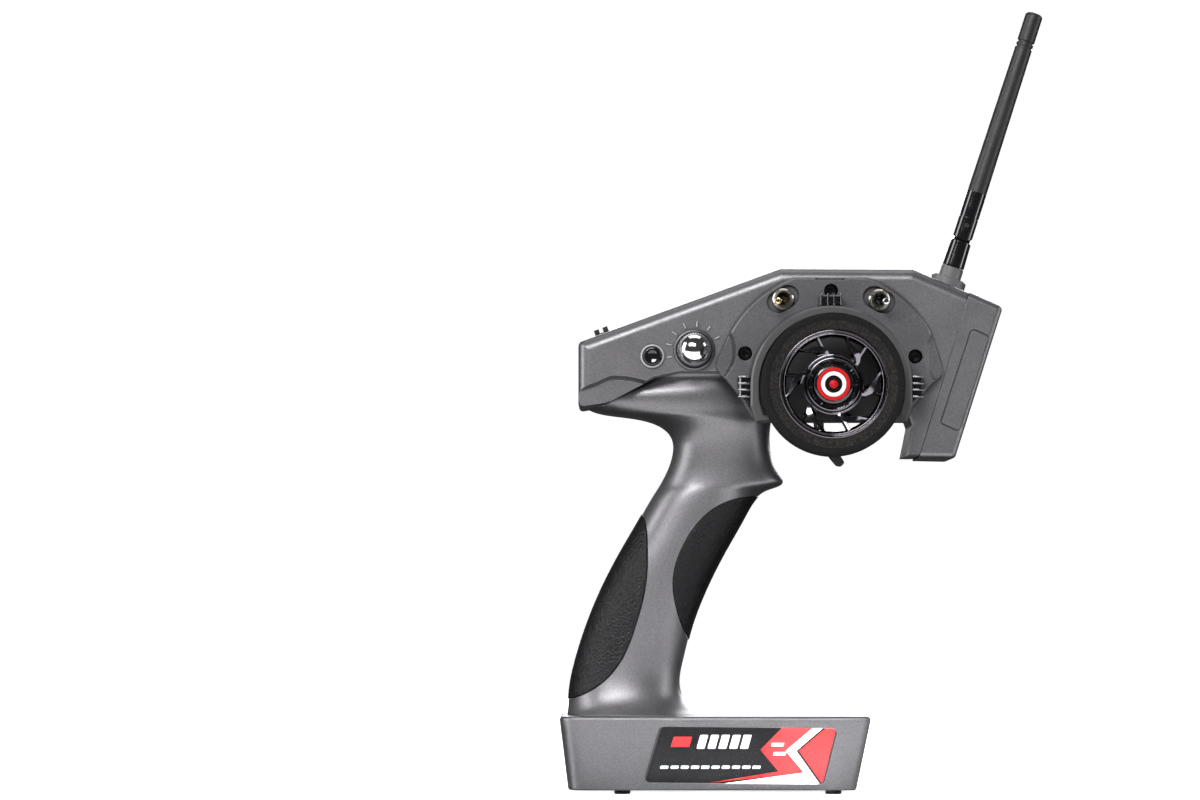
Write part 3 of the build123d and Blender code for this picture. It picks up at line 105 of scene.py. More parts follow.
class Look:
    """A procedural material under construction: a Principled shader with noise layers in object space."""

    def __init__(self, name, color, rough, metallic=0.0, coat=0.0, coat_rough=0.08, specular=0.5, edge=0.0):
        self.material = bpy.data.materials.new(name)
        self.material.use_nodes = True
        self.tree = self.material.node_tree
        self.shader = self.tree.nodes["Principled BSDF"]
        self.color = (*color, 1.0)
        self.set("Base Color", self.color)
        self.set("Roughness", rough)
        self.set("Metallic", metallic)
        self.set("Coat Weight", coat)
        self.set("Coat Roughness", coat_rough)
        self.set("Specular IOR Level", specular)
        self.space = self.tree.nodes.new("ShaderNodeTexCoord").outputs["Object"]
        self.height = None
        if edge:
            self.height = self.node("ShaderNodeBevel", Radius=edge * MM).outputs["Normal"]
            self.tree.links.new(self.height, self.shader.inputs["Normal"])

    def set(self, socket, value):
        self.shader.inputs[socket].default_value = value

    def node(self, kind, **inputs):
        node = self.tree.nodes.new(kind)
        for name, value in inputs.items():
            target = node.inputs[name.replace("_", " ")]
            if isinstance(value, bpy.types.NodeSocket):
                self.tree.links.new(value, target)
            else:
                target.default_value = value
        return node

    def noise(self, size, detail):
        """Soft noise with features about size millimetres across, from 0 to 1."""
        return self.node("ShaderNodeTexNoise", Vector=self.space, Scale=1 / (size * MM), Detail=detail,
                         Roughness=NOISE_ROUGHNESS).outputs["Fac"]

    def cells(self, size, feature="F1", output="Distance", randomness=1.0):
        """Voronoi cells about size millimetres across."""
        node = self.node("ShaderNodeTexVoronoi", Vector=self.space, Scale=1 / (size * MM),
                         Randomness=randomness)
        node.feature = feature
        return node.outputs[output]

    def remap(self, value, low, high, to_low=0.0, to_high=1.0):
        node = self.node("ShaderNodeMapRange", Value=value)
        for name, number in (("From Min", low), ("From Max", high), ("To Min", to_low), ("To Max", to_high)):
            node.inputs[name].default_value = number
        return node.outputs["Result"]

    def vary_color(self, value, dark, light):
        """Paints the base colour from dark to light along a 0 to 1 value."""
        mix = self.tree.nodes.new("ShaderNodeMix")
        mix.data_type = "RGBA"
        self.tree.links.new(value, mix.inputs["Factor"])
        mix.inputs[6].default_value = (*dark, 1.0)
        mix.inputs[7].default_value = (*light, 1.0)
        self.tree.links.new(mix.outputs[2], self.shader.inputs["Base Color"])
        return self

    def over(self, factor, color):
        """Lays a plain colour over the base colour where factor is 1."""
        mix = self.tree.nodes.new("ShaderNodeMix")
        mix.data_type = "RGBA"
        base = self.shader.inputs["Base Color"]
        self.tree.links.new(factor, mix.inputs["Factor"])
        self.tree.links.new(base.links[0].from_socket, mix.inputs[6])
        mix.inputs[7].default_value = (*color, 1.0)
        self.tree.links.new(mix.outputs[2], base)
        return self

    def edges(self, radius, light, dark, reach):
        """Painted highlight on every rounded edge and painted shade in the gaps, laid into the base colour; radius
        and reach in millimetres.
        """
        rounded = self.node("ShaderNodeBevel", Radius=radius * MM).outputs["Normal"]
        flat = self.tree.nodes.new("ShaderNodeNewGeometry").outputs["Normal"]
        turn = self.tree.nodes.new("ShaderNodeVectorMath")
        turn.operation = "DOT_PRODUCT"
        self.tree.links.new(rounded, turn.inputs[0])
        self.tree.links.new(flat, turn.inputs[1])
        # painted highlight where the bevelled normal turns away from the flat normal
        self.over(self.remap(turn.outputs["Value"], *PAINTED_HIGHLIGHT_EDGE_TURN), light)
        # painted shade where ambient occlusion finds a gap
        gap = self.node("ShaderNodeAmbientOcclusion", Distance=reach * MM)
        gap.samples = PAINTED_SHADE_GAP_SAMPLES
        return self.over(self.remap(gap.outputs["AO"], *PAINTED_SHADE_GAP_RANGE), dark)

    def vary_rough(self, value, low, high):
        self.tree.links.new(self.remap(value, 0.3, 0.7, low, high), self.shader.inputs["Roughness"])
        return self

    def bump(self, value, depth, strength=1.0):
        """Adds relief of depth millimetres on top of what is already there."""
        bump = self.node("ShaderNodeBump", Height=value, Strength=strength, Distance=depth * MM)
        if self.height:
            self.tree.links.new(self.height, bump.inputs["Normal"])
        self.height = bump.outputs["Normal"]
        self.tree.links.new(self.height, self.shader.inputs["Normal"])
        return self


def tint(color, factor):
    return tuple(channel * factor for channel in color)


def metallic_paint(name, color, edge=0.35):
    """Dark silver-grey metallic lacquer: flakes, a faint orange-peel surface and hand smudges, plus a painted
    highlight on rounded edge bands and painted shade in gaps.
    """
    look = Look(name, color, 0.40, metallic=0.82, coat=0.15, coat_rough=0.25, edge=edge)
    flakes = look.node("ShaderNodeSeparateColor", Color=look.cells(0.26, output="Color")).outputs["Red"]
    look.vary_color(look.remap(flakes, 0.15, 0.95), tint(color, 0.84), tint(color, 1.20))
    # painted highlight, 2.3 times paler, on rounded edge bands, and painted shade, far darker, in gaps up to 1.8
    # mm deep
    look.edges(0.35, tint(color, 2.3), tint(color, 0.16), 1.8)
    look.vary_rough(look.noise(14, 4), 0.37, 0.44)
    look.bump(look.noise(0.5, 2), 0.012)
    return look.material


def rubber(name, color=(0.0045, 0.0045, 0.0052)):
    """Black grip rubber with a greasy sheen over a pebbled grain."""
    look = Look(name, color, 0.36, specular=0.22)
    look.vary_color(look.noise(6, 4), tint(color, 0.8), tint(color, 1.6))
    look.vary_rough(look.noise(3, 3), 0.30, 0.44)
    look.bump(look.remap(look.cells(0.95), 0.15, 0.75, 1.0, 0.0), 0.18)
    look.bump(look.noise(0.25, 2), 0.015)
    return look.material


def foam(name, color, speckle, specular):
    """Dense foam rubber: fine open cells, with paler specks where the skin is cut."""
    look = Look(name, color, 0.85, specular=specular)
    look.vary_color(look.remap(look.noise(0.7, 5), 0.42, 0.68), tint(color, 0.6), tint(color, speckle))
    look.bump(look.cells(0.6), 0.16, 0.9)
    look.bump(look.noise(0.9, 4), 0.10, 0.6)
    return look.material


def plastic(name, color, rough, coat=0.0, grain=0.35, depth=0.015, specular=0.5, edge=0.25):
    """Moulded plastic with a light spark-eroded grain and slight gloss changes."""
    look = Look(name, color, rough, coat=coat, specular=specular, edge=edge)
    look.vary_color(look.noise(9, 4), tint(color, 0.92), tint(color, 1.10))
    look.vary_rough(look.noise(7, 4), max(rough - 0.05, 0.03), rough + 0.07)
    look.bump(look.noise(grain, 3), depth)
    return look.material


def metal(name, color, rough, scratches=0.0, edge=0.0, grain=0.003):
    """Polished, plated or turned metal with faint handling marks."""
    look = Look(name, color, rough, metallic=1.0, edge=edge)
    look.vary_color(look.noise(5, 4), tint(color, 0.94), tint(color, 1.04))
    look.vary_rough(look.noise(2.5, 5), rough, rough + 0.06 + scratches)
    look.bump(look.noise(0.8, 3), grain + scratches * 0.03)
    return look.material


def clear_lens(name):
    look = Look(name, (0.75, 0.78, 0.76), 0.04)
    look.set("Alpha", 0.22)
    look.bump(look.noise(12, 2), 0.004)
    return look.material


def display_glass(name):
    """Reflective grey-green display background with a fine dot pitch."""
    color = (0.30, 0.36, 0.30)
    look = Look(name, color, 0.35)
    look.vary_color(look.cells(0.5, randomness=0.0), tint(color, 0.9), tint(color, 1.05))
    return look.material


def circuit_board(name):
    look = Look(name, (0.01, 0.12, 0.05), 0.35, coat=0.3)
    look.vary_color(look.noise(1.5, 4), (0.008, 0.09, 0.04), (0.02, 0.16, 0.07))
    look.bump(look.cells(1.6, randomness=0.3), 0.03)
    return look.material


SHELL_GREY = (0.172, 0.168, 0.178)
LOOKS = {
    "shell": metallic_paint("shell_paint", SHELL_GREY),
    # The plate paint is the shell paint made darker: partly the plate's own darker tone, partly painted shade for
    # where the wheel shades the plate.
    "plate": metallic_paint("plate_paint_partly_shaded", tint(SHELL_GREY, 0.76)),
    "collar": plastic("collar_grey", (0.050, 0.050, 0.052), 0.40, coat=0.15),
    "gloss_black": plastic("gloss_black", (0.006, 0.006, 0.007), 0.12, coat=0.6, depth=0.004),
    "matte_black": plastic("matte_black", (0.014, 0.014, 0.0145), 0.42, grain=0.3, depth=0.02, specular=0.45),
    "antenna_grey": plastic("antenna_grey", (0.105, 0.105, 0.108), 0.38, depth=0.01),
    "key_grey": plastic("key_grey", (0.30, 0.30, 0.31), 0.38),
    "rim_chrome": metal("rim_chrome", (0.15, 0.142, 0.157), 0.035, grain=0.0012),
    "tyre_foam": foam("tyre_foam", (0.0050, 0.0050, 0.0054), 1.5, 0.22),
    "cap_red": plastic("cap_red", (0.60, 0.004, 0.010), 0.20, coat=0.8, depth=0.003),
    "chrome": metal("chrome", (0.86, 0.86, 0.87), 0.07),
    "brass": metal("brass", (0.80, 0.62, 0.33), 0.14),
    "steel": metal("steel", (0.55, 0.55, 0.56), 0.24, 0.06),
    "screw_black": metal("screw_black", (0.045, 0.045, 0.047), 0.20, edge=0.3),
    "rubber": rubber("grip_rubber"),
    "lens": clear_lens("display_lens"),
    "board": circuit_board("circuit_board"),
    "label": plastic("label_black", (0.005, 0.005, 0.006), 0.16, depth=0.003, specular=0.3),
    "cell": plastic("cell_sleeve", (0.05, 0.05, 0.06), 0.3, coat=0.3, depth=0.003),
    "wire": plastic("wire_red", (0.45, 0.02, 0.02), 0.4),
}
TYRE_BAND = foam("tyre_band", (0.0085, 0.0080, 0.0074), 3.0, 0.25)
RIM_FACE = metal("rim_face", (0.20, 0.188, 0.215), 0.07, grain=0.0012)
NUT_NICKEL = metal("nut_nickel", (0.66, 0.62, 0.56), 0.24)
SLEEVE_BRASS = metal("sleeve_brass", (0.78, 0.70, 0.54), 0.20)
LATCH_CHROME = metal("latch_chrome", (0.40, 0.39, 0.41), 0.08)
PALE_GREY = plastic("pale_grey", (0.36, 0.36, 0.37), 0.32, coat=0.2)
WHITE_PRINT = plastic("white_print", (0.90, 0.90, 0.90), 0.35, coat=0.1, depth=0.003)
RED_PRINT = plastic("red_print", (0.50, 0.0, 0.003), 0.35, depth=0.003, specular=0.25)
DISPLAY_GLASS = display_glass("display_glass")
DISPLAY_INK = plastic("display_ink", (0.02, 0.03, 0.025), 0.4)


def paint_nodes():
    """Every CAD node that stays gets its slot's look."""
    slots = {part["node"]: part["material_slot"] for part in record["subparts"]}
    for name, obj in nodes.items():
        material = LOOKS[slots[name]]
        for index in range(len(obj.material_slots)):
            obj.material_slots[index].material = material
    for slot in nodes["toggle_nuts"].material_slots:
        slot.material = NUT_NICKEL


# ---- Mesh tools ----------------------------------------------------------------------------------
def finish_mesh(name, bm, material, body, sharp=35):
    """Turns a bmesh into a shaded piece that rides on a body."""
    bmesh.ops.recalc_face_normals(bm, faces=bm.faces)
    mesh = bpy.data.meshes.new(name)
    bm.to_mesh(mesh)
    bm.free()
    mesh.polygons.foreach_set("use_smooth", [True] * len(mesh.polygons))
    mesh.set_sharp_from_angle(angle=math.radians(sharp))
    mesh.materials.append(material)
    obj = bpy.data.objects.new(name, mesh)
    scene.collection.objects.link(obj)
    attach(obj, body)
    return obj


def softened(points, steps=5):
    """Profile points (radius, height, corner) with each corner rounded by about its third number."""
    out = []
    for index, (r, h, corner) in enumerate(points):
        here = Vector((r, h))
        if corner <= 0 or index in (0, len(points) - 1):
            out.append((r, h))
            continue
        before, after = Vector(points[index - 1][:2]), Vector(points[index + 1][:2])
        start = here + (before - here).normalized() * min(corner, (before - here).length / 2)
        end = here + (after - here).normalized() * min(corner, (after - here).length / 2)
        for step in range(steps + 1):
            t = step / steps
            point = start * (1 - t) ** 2 + here * 2 * t * (1 - t) + end * t ** 2
            out.append((point.x, point.y))
    return out


ON_AXIS = 1e-6  # a profile point this near the axis is one vertex, not a ring


def add_turned(bm, profile, origin, axis, turns=96, closed=False, ripple=None):
    """Revolves (radius, height) points in millimetres about an axis.

    ripple(index, angle) scales the radius of profile point index at that angle.
    """
    across = axis.orthogonal().normalized()
    side = axis.cross(across)
    rings = []
    for index, (radius, height) in enumerate(profile):
        base = origin + axis * height * MM
        if radius < ON_AXIS:
            rings.append([bm.verts.new(base)])
            continue
        ring = []
        for turn in range(turns):
            angle = 2 * math.pi * turn / turns
            reach = radius * MM * (ripple(index, angle) if ripple else 1)
            ring.append(bm.verts.new(base + (across * math.cos(angle) + side * math.sin(angle)) * reach))
        rings.append(ring)
    pairs = list(zip(rings, rings[1:])) + ([(rings[-1], rings[0])] if closed else [])
    for lower, upper in pairs:
        for turn in range(turns):
            after = (turn + 1) % turns
            corners = [lower[turn % len(lower)], lower[after % len(lower)],
                       upper[after % len(upper)], upper[turn % len(upper)]]
            corners = list(dict.fromkeys(corners))
            if len(corners) > 2:
                bm.faces.new(corners)


def turned(name, profile, origin, axis, look, body, turns=96, closed=False, ripple=None, sharp=35):
    """One turned piece. look is a slot name, or (material, slot name)."""
    material, slot_name = (LOOKS[look], look) if isinstance(look, str) else look
    bm = bmesh.new()
    add_turned(bm, profile, origin, axis.normalized(), turns, closed, ripple)
    return finish_mesh(name, bm, material, body, sharp)


def bevel(obj, width, segments=3, angle=30):
    modifier = obj.modifiers.new("bevel", "BEVEL")
    modifier.width = width * MM
    modifier.segments = segments
    modifier.limit_method = "ANGLE"
    modifier.angle_limit = math.radians(angle)


# ---- Steering wheel ------------------------------------------------------------------------------
WHEEL_GROUPS = 6
FIRST_GROUP = 48.0  # degrees from +X
BAND_RADIUS = 25.0  # where the tyre's cut side band ends, mm
HUB_LUGS = 12
GROOVES = 6
GROOVE_PITCH = 2.1
# One blade, as lines of (radius mm, degrees past its group, depth mm behind the tyre's face), rim to hub.
BLADE_OUTER = [(18.9, 24.8, 2.9), (17.4, 21.0, 2.9), (16.3, 8.0, 3.2),
               (15.4, -1.4, 3.5), (13.3, -8.2, 4.4), (11.0, -11.5, 5.2)]
BLADE_CREST = [(18.9, 27.2, 2.7), (16.2, 21.0, 2.7), (14.6, 13.4, 3.0),
               (13.3, 1.0, 3.7), (12.3, -4.6, 4.4), (11.0, -6.0, 5.0)]
BLADE_INNER = [(18.8, 30.2, 3.6), (16.2, 22.6, 4.4), (15.1, 17.4, 5.0),
               (13.9, 12.8, 5.7), (12.9, 10.6, 6.0), (11.0, 9.4, 6.2)]
BLADE_FLOOR = 9.5
LIP = 0.5  # what the rim's lips add to its barrel's radius
CAP_DEPTH = 2.65  # the cap's face, behind the tyre's


def make_wheel():
    low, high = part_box("wheel_tyre")
    back = high.y
    centre = Vector((middle("wheel_tyre").x, back, middle("wheel_tyre").z))
    width = (high.y - low.y) / MM
    radius = (high.x - low.x) / 2 / MM
    rim_low, rim_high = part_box("wheel_rim")
    rim = (rim_high.x - rim_low.x) / 2 / MM - LIP
    make_tyre(centre, width, radius, rim)
    make_rim(centre, width, rim)
    make_hub_cap(centre, width)


def make_tyre(centre, width, radius, rim):
    """Foam ring: a cut side band next to the rim, a smooth shoulder and fine turning lines on the tread."""
    points = [(rim + 1.05, width - 2.0, 0), (rim + 1.05, width - 0.75, 0.2),
              (BAND_RADIUS - 0.4, width - 0.45, 0.3), (BAND_RADIUS + 0.2, width - 0.04, 0.5),
              (radius - 0.1, width - 0.1, 2.3), (radius, width - 4.0, 0.5)]
    for groove in range(GROOVES):
        start = width - 4.6 - groove * GROOVE_PITCH
        points += [(radius, start, 0.1), (radius - 0.22, start - 0.12, 0.08),
                   (radius - 0.22, start - 0.32, 0.08), (radius, start - 0.44, 0.1)]
    points += [(radius, 3.6, 0.4), (radius - 0.1, 0.1, 2.4), (radius - 3.0, 0.05, 0.4), (rim + 0.02, 0.6, 0)]
    profile = softened(points) + [(rim + 0.02, width - 2.0)]
    tyre = turned("tyre", profile, centre, FRONT, "tyre_foam", "wheel", turns=144, closed=True)
    tyre.data.materials.append(TYRE_BAND)
    for face in tyre.data.polygons:
        reach = face.center - centre
        if Vector((reach.x, reach.z)).length < (BAND_RADIUS - 0.2) * MM and -reach.y > (width - 1.5) * MM:
            face.material_index = 1
    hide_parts("wheel_tyre")


def wheel_point(centre, radius, angle, height):
    turn = math.radians(angle)
    return centre + Vector((math.cos(turn) * radius, 0, math.sin(turn) * radius)) * MM + FRONT * height * MM


def add_beam(bm, centre, inner, outer):
    """A bar with a narrower crest. Each end is (radius, angle, low, high, low width, high width)."""
    ends = []
    along = wheel_point(centre, outer[0], outer[1], 0) - wheel_point(centre, inner[0], inner[1], 0)
    across = along.normalized().cross(FRONT)
    for radius, angle, low, high, low_width, high_width in (inner, outer):
        corners = []
        levels = ((low, low_width / 2), (high - 0.5, high_width / 2 + 0.25), (high, high_width / 2))
        for height, half in levels:
            base = wheel_point(centre, radius, angle, height)
            corners.append((base - across * half * MM, base + across * half * MM))
        loop = [corners[0][0], corners[1][0], corners[2][0], corners[2][1], corners[1][1], corners[0][1]]
        ends.append([bm.verts.new(point) for point in loop])
    count = len(ends[0])
    for index in range(count):
        after = (index + 1) % count
        bm.faces.new([ends[0][index], ends[0][after], ends[1][after], ends[1][index]])
    bm.faces.new(ends[0])
    bm.faces.new(list(reversed(ends[1])))


def add_blade(bm, centre, angle, width):
    """A curved blade from hub to rim: a broad front facet, a steep inner facet, and walls to its floor."""
    lines = []
    for line in (BLADE_OUTER, BLADE_CREST, BLADE_INNER):
        lines.append([bm.verts.new(wheel_point(centre, r, angle + a, width - depth))
                      for r, a, depth in line])
    feet = []
    for line, shift in ((BLADE_OUTER, -0.25), (BLADE_INNER, 0.25)):
        feet.append([bm.verts.new(wheel_point(centre, r + shift, angle + a, BLADE_FLOOR))
                     for r, a, _ in line])
    outer, crest, inner = lines
    for index in range(len(outer) - 1):
        face = bm.faces.new([outer[index], outer[index + 1], crest[index + 1], crest[index]])
        face.material_index = 1
        bm.faces.new([crest[index], crest[index + 1], inner[index + 1], inner[index]])
        bm.faces.new([inner[index], inner[index + 1], feet[1][index + 1], feet[1][index]])
        bm.faces.new([feet[1][index], feet[1][index + 1], feet[0][index + 1], feet[0][index]])
        bm.faces.new([feet[0][index], feet[0][index + 1], outer[index + 1], outer[index]])
    for end in (0, -1):
        bm.faces.new([outer[end], crest[end], inner[end], feet[1][end], feet[0][end]])


def make_rim(centre, width, rim):
    """Dark-chromed rim: a double-lipped barrel, a stepped hub with lugs, and groups of blade and thin arm."""
    bm = bmesh.new()
    barrel = softened([(rim, 0.6, 0), (rim, width - 2.2, 0.1), (rim + 1.0, width - 2.0, 0.1),
                       (rim + 1.0, width - 0.5, 0.35), (rim + 0.35, width - 0.3, 0.3),
                       (rim + 0.1, width - 1.1, 0.15), (rim - 0.35, width - 1.15, 0.15),
                       (rim - 0.6, width - 0.75, 0.2), (rim - 1.05, width - 1.0, 0.3),
                       (rim - 1.25, width - 2.3, 0.3), (rim - 1.75, width - 3.4, 0.5),
                       (rim - 2.0, width - 9.0, 1.0), (rim - 1.4, 1.2, 0.3), (rim - 1.2, 0.6, 0)])
    add_turned(bm, barrel, centre, FRONT, 144, closed=True)
    hub = softened([(3.1, 3.2, 0), (8.6, 3.2, 0.5), (9.6, 8.0, 0.6), (11.4, 13.6, 0.5),
                    (11.9, width - 6.4, 0.5), (11.9, width - 4.9, 0.35), (11.1, width - 4.75, 0.25),
                    (10.7, width - 5.3, 0.2), (10.5, width - 3.9, 0.3), (9.8, width - 3.7, 0.3),
                    (9.5, width - 5.4, 0.2), (8.1, width - 5.4, 0.2), (8.0, width - 6.4, 0.2),
                    (3.1, width - 6.4, 0)])
    add_turned(bm, hub, centre, FRONT, 96, closed=True)
    for lug in range(HUB_LUGS):
        angle = FIRST_GROUP + 360 / HUB_LUGS * (lug + 0.5)
        add_beam(bm, centre, (8.15, angle, width - 6.0, width - 4.6, 1.5, 1.1),
                 (9.6, angle, width - 6.0, width - 4.4, 1.9, 1.4))
    for group in range(WHEEL_GROUPS):
        angle = FIRST_GROUP + 360 / WHEEL_GROUPS * group
        add_blade(bm, centre, angle, width)
        add_beam(bm, centre, (14.9, angle - 1.6, 10.0, width - 3.7, 1.9, 0.8),
                 (18.9, angle + 0.6, 10.0, width - 2.6, 1.6, 0.7))
    obj = finish_mesh("rim", bm, LOOKS["rim_chrome"], "wheel", 28)
    obj.data.materials.append(RIM_FACE)
    bevel(obj, 0.16, 3, 20)
    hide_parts("wheel_rim")


def make_hub_cap(centre, width):
    """Enamelled cap: a dark rim, then red, white and dark rings, and a red button in the middle."""
    face = width - CAP_DEPTH
    body = softened([(0, width - 5.4, 0), (7.75, width - 5.4, 0.2), (7.75, face - 0.5, 0.45),
                     (6.65, face, 0.15), (6.5, face - 0.25, 0.05), (3.25, face - 0.2, 0),
                     (1.7, face - 0.15, 0), (0, face - 0.15, 0)])
    cap = turned("hub_cap", body, centre, FRONT, "gloss_black", "wheel")
    rings = (("hub_ring_red", 6.45, 5.0, 0.05, (RED_PRINT, "cap_red")),
             ("hub_ring_white", 4.9, 3.4, 0.1, (WHITE_PRINT, "cap_red")))
    for name, outer, inner, rise, look in rings:
        band = softened([(outer, face - 0.35, 0), (outer, face + rise, 0.12), (inner, face + rise, 0.12),
                         (inner, face - 0.35, 0)])
        turned(name, band, centre, FRONT, look, "wheel")
    dot = [(1.65, face - 0.3), (1.65, face + 0.05), (1.45, face + 0.25), (1.0, face + 0.42),
           (0.5, face + 0.5), (0, face + 0.52)]
    turned("hub_button", dot, centre, FRONT, (RED_PRINT, "cap_red"), "wheel", 48)
    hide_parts("wheel_cap")


# ---- Controls beside the wheel -------------------------------------------------------------------
KNOB_RIBS = 40
TICKS = 7
FIRST_TICK = 196.0  # degrees from +X
TICK_PITCH = 28.0
TICK_RADIUS = 10.2
TICK_SIZE = (2.1, 0.5, 0.42)  # length, width, height
DOME_STEPS = 18
LATCH_ANGLES = (0, 90, 180)
LATCH_RIBS = (-3.9, -1.25, 1.25, 3.9)  # the ribs' places across a latch
RIB_INSET = 2.5  # the ribs' middle, in from the latch's outer end
RIB_SIZE = (4.6, 0.62, 0.5)
BALL_RADIUS = 2.0  # the toggle levers' pivot balls


def make_knob():
    """Chromed dome on a finely ribbed skirt, in a painted collar with pale scale marks round it."""
    low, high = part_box("knob_cap")
    _, ring_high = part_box("knob_ring")
    origin = Vector((middle("knob_cap").x, ring_high.y, middle("knob_cap").z))
    front = (origin.y - low.y) / MM
    radius = (high.x - low.x) / 2 / MM
    dome = radius - 0.9
    profile = softened([(3.0, -2.2, 0), (3.0, 1.4, 0), (radius - 0.3, 1.5, 0.3), (radius, 2.0, 0.3),
                        (radius, front - dome - 0.1, 0.1), (radius - 0.25, front - dome + 0.15, 0.1)], 4)
    ribbed = [index for index, (r, _) in enumerate(profile) if r > radius - 0.1]
    for step in range(DOME_STEPS + 1):
        turn = math.radians(step * 90 / DOME_STEPS)
        profile.append(((radius - 0.3) * math.cos(turn), front - dome + dome * math.sin(turn)))
    profile[-1] = (0, front)

    def ripple(index, angle):
        if index not in ribbed:
            return 1.0
        return 1 - 0.03 * (0.5 + 0.5 * math.cos(KNOB_RIBS * angle)) ** 2

    knob = turned("dial", profile, origin, FRONT, "chrome", "knob", KNOB_RIBS * 8, ripple=ripple, sharp=50)
    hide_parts("knob_cap")
    base = softened([(3.7, 0, 0), (8.15, 0, 0), (8.15, 0.75, 0.25), (7.3, 1.15, 0.2), (7.05, 0.3, 0.1),
                     (3.7, 0.3, 0)])
    ring = turned("dial_base", base, origin, FRONT, "plate", "case", closed=True)
    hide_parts("knob_ring")
    marks = bmesh.new()
    for tick in range(TICKS):
        turn = math.radians(FIRST_TICK - TICK_PITCH * tick)
        along = Vector((math.cos(turn), 0, math.sin(turn)))
        across = along.cross(FRONT)
        place = origin + along * TICK_RADIUS * MM + FRONT * 0.1 * MM
        add_mark(marks, place, along, across, *TICK_SIZE)
    obj = finish_mesh("dial_marks", marks, PALE_GREY, "case")
    bevel(obj, 0.08, 2)


def make_clip_ribs():
    """Bright ribs on the three latches round the steering collar."""
    axis = middle("wheel_tyre")
    low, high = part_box("collar_clips")
    reach = high.x - axis.x - RIB_INSET * MM
    bm = bmesh.new()
    for angle in LATCH_ANGLES:
        turn = math.radians(angle)
        along = Vector((math.cos(turn), 0, math.sin(turn)))
        across = along.cross(FRONT)
        for offset in LATCH_RIBS:
            place = Vector((axis.x, low.y, axis.z)) + along * reach + across * offset * MM
            add_mark(bm, place, along, across, *RIB_SIZE)
    obj = finish_mesh("latch_ribs", bm, LATCH_CHROME, "case")
    bevel(obj, 0.1, 2)


def add_mark(bm, place, along, across, length, width, height):
    """A small raised bar with a crowned top, standing towards the wheel side."""
    sides = []
    for lift, shrink in ((-0.2, 1.0), (height - 0.12, 1.0), (height, 0.6)):
        loop = []
        for s, t in ((-1, -1), (1, -1), (1, 1), (-1, 1)):
            reach = length / 2 - (1 - shrink) * 0.2
            point = place + (along * s * reach + across * t * width / 2 * shrink) * MM
            loop.append(bm.verts.new(point + FRONT * lift * MM))
        sides.append(loop)
    for lower, upper in zip(sides, sides[1:]):
        for index in range(4):
            after = (index + 1) % 4
            bm.faces.new([lower[index], lower[after], upper[after], upper[index]])
    bm.faces.new(sides[0])
    bm.faces.new(list(reversed(sides[-1])))


def make_push_button():
    low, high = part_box("button_cap")
    origin = Vector((middle("button_cap").x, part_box("button_bezel")[1].y, middle("button_cap").z))
    front = (origin.y - low.y) / MM
    radius = (high.x - low.x) / 2 / MM
    cap = softened([(1.4, -7.3, 0), (1.4, -3.6, 0), (radius, -3.6, 0.2), (radius, front - 0.1, 0.7),
                    (radius - 1.1, front - 0.05, 0.4), (1.2, front - 0.45, 1.0), (0, front - 0.5, 0)])
    button = turned("push_button", cap, origin, FRONT, "gloss_black", "button", 72)
    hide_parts("button_cap")
    bezel = softened([(3.78, -2.1, 0), (3.95, 0.0, 0), (4.75, 0.0, 0.1), (4.72, 0.65, 0.35),
                      (4.2, 0.95, 0.3), (3.85, 0.5, 0.25), (3.78, -0.4, 0)])
    # The bezel ring is pale grey as a painted highlight: the light caught by its chamfered edge, painted into its
    # colour.
    look = (PALE_GREY, "matte_black")
    ring = turned("push_button_bezel", bezel, origin, FRONT, look, "case", 72, closed=True)
    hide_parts("button_bezel")


def make_toggles():
    """Bat levers in threaded sleeves."""
    nut_low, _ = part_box("toggle_nuts")
    for name, look in (("rear", "brass"), ("front", "chrome")):
        throw = joint(f"toggle_{name}_throw")
        pivot = Vector(throw["pos_m"])
        low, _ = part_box(f"toggle_lever_{name}")
        lean_axis = Vector(throw["axis"])
        half = math.radians(throw["range_deg"][0] + throw["range_deg"][1]) / 2
        axis = Matrix.Rotation(-half, 3, lean_axis) @ FRONT
        reach = (pivot.y - low.y) / MM
        ball = [(BALL_RADIUS * math.sin(math.radians(turn)), -BALL_RADIUS * math.cos(math.radians(turn)))
                for turn in range(0, 150, 10)]
        lever = ball + softened([(0.95, 1.8, 0), (0.8, 3.0, 0.5), (0.95, reach - 3.4, 0.6),
                                 (1.42, reach - 1.6, 0.8), (1.40, reach - 0.25, 0.8),
                                 (0.8, reach - 0.02, 0.4), (0, reach, 0)])
        obj = turned(f"toggle_{name}", lever, pivot, axis, look, f"toggle_{name}", 48)
        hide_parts(f"toggle_lever_{name}")
        mouth = Vector((pivot.x, nut_low.y, pivot.z))
        sleeve = softened([(2.15, -1.6, 0), (2.2, -0.2, 0.1), (2.45, 0.25, 0.1), (2.85, 0.25, 0.1),
                           (2.9, 0.0, 0.1), (2.7, -0.2, 0.05), (2.9, -0.4, 0.05), (2.7, -0.6, 0.05),
                           (2.9, -0.8, 0.05), (2.9, -1.6, 0)])
        sleeve_look = (SLEEVE_BRASS, "brass")
        turned(f"toggle_{name}_sleeve", sleeve, mouth, FRONT, sleeve_look, "case", 64, closed=True)


# ---- Grip pads -----------------------------------------------------------------------------------
PAD_VOXEL = 0.36  # remesh step, mm
PEBBLE = 1.1  # size of one grain pebble, mm
PEBBLE_RISE = 0.12
CREASE = 0.45  # the crease's half-width, as a share of a pebble
CREASE_LEVEL = 0.75  # the share of the rise that lies below the plain surface


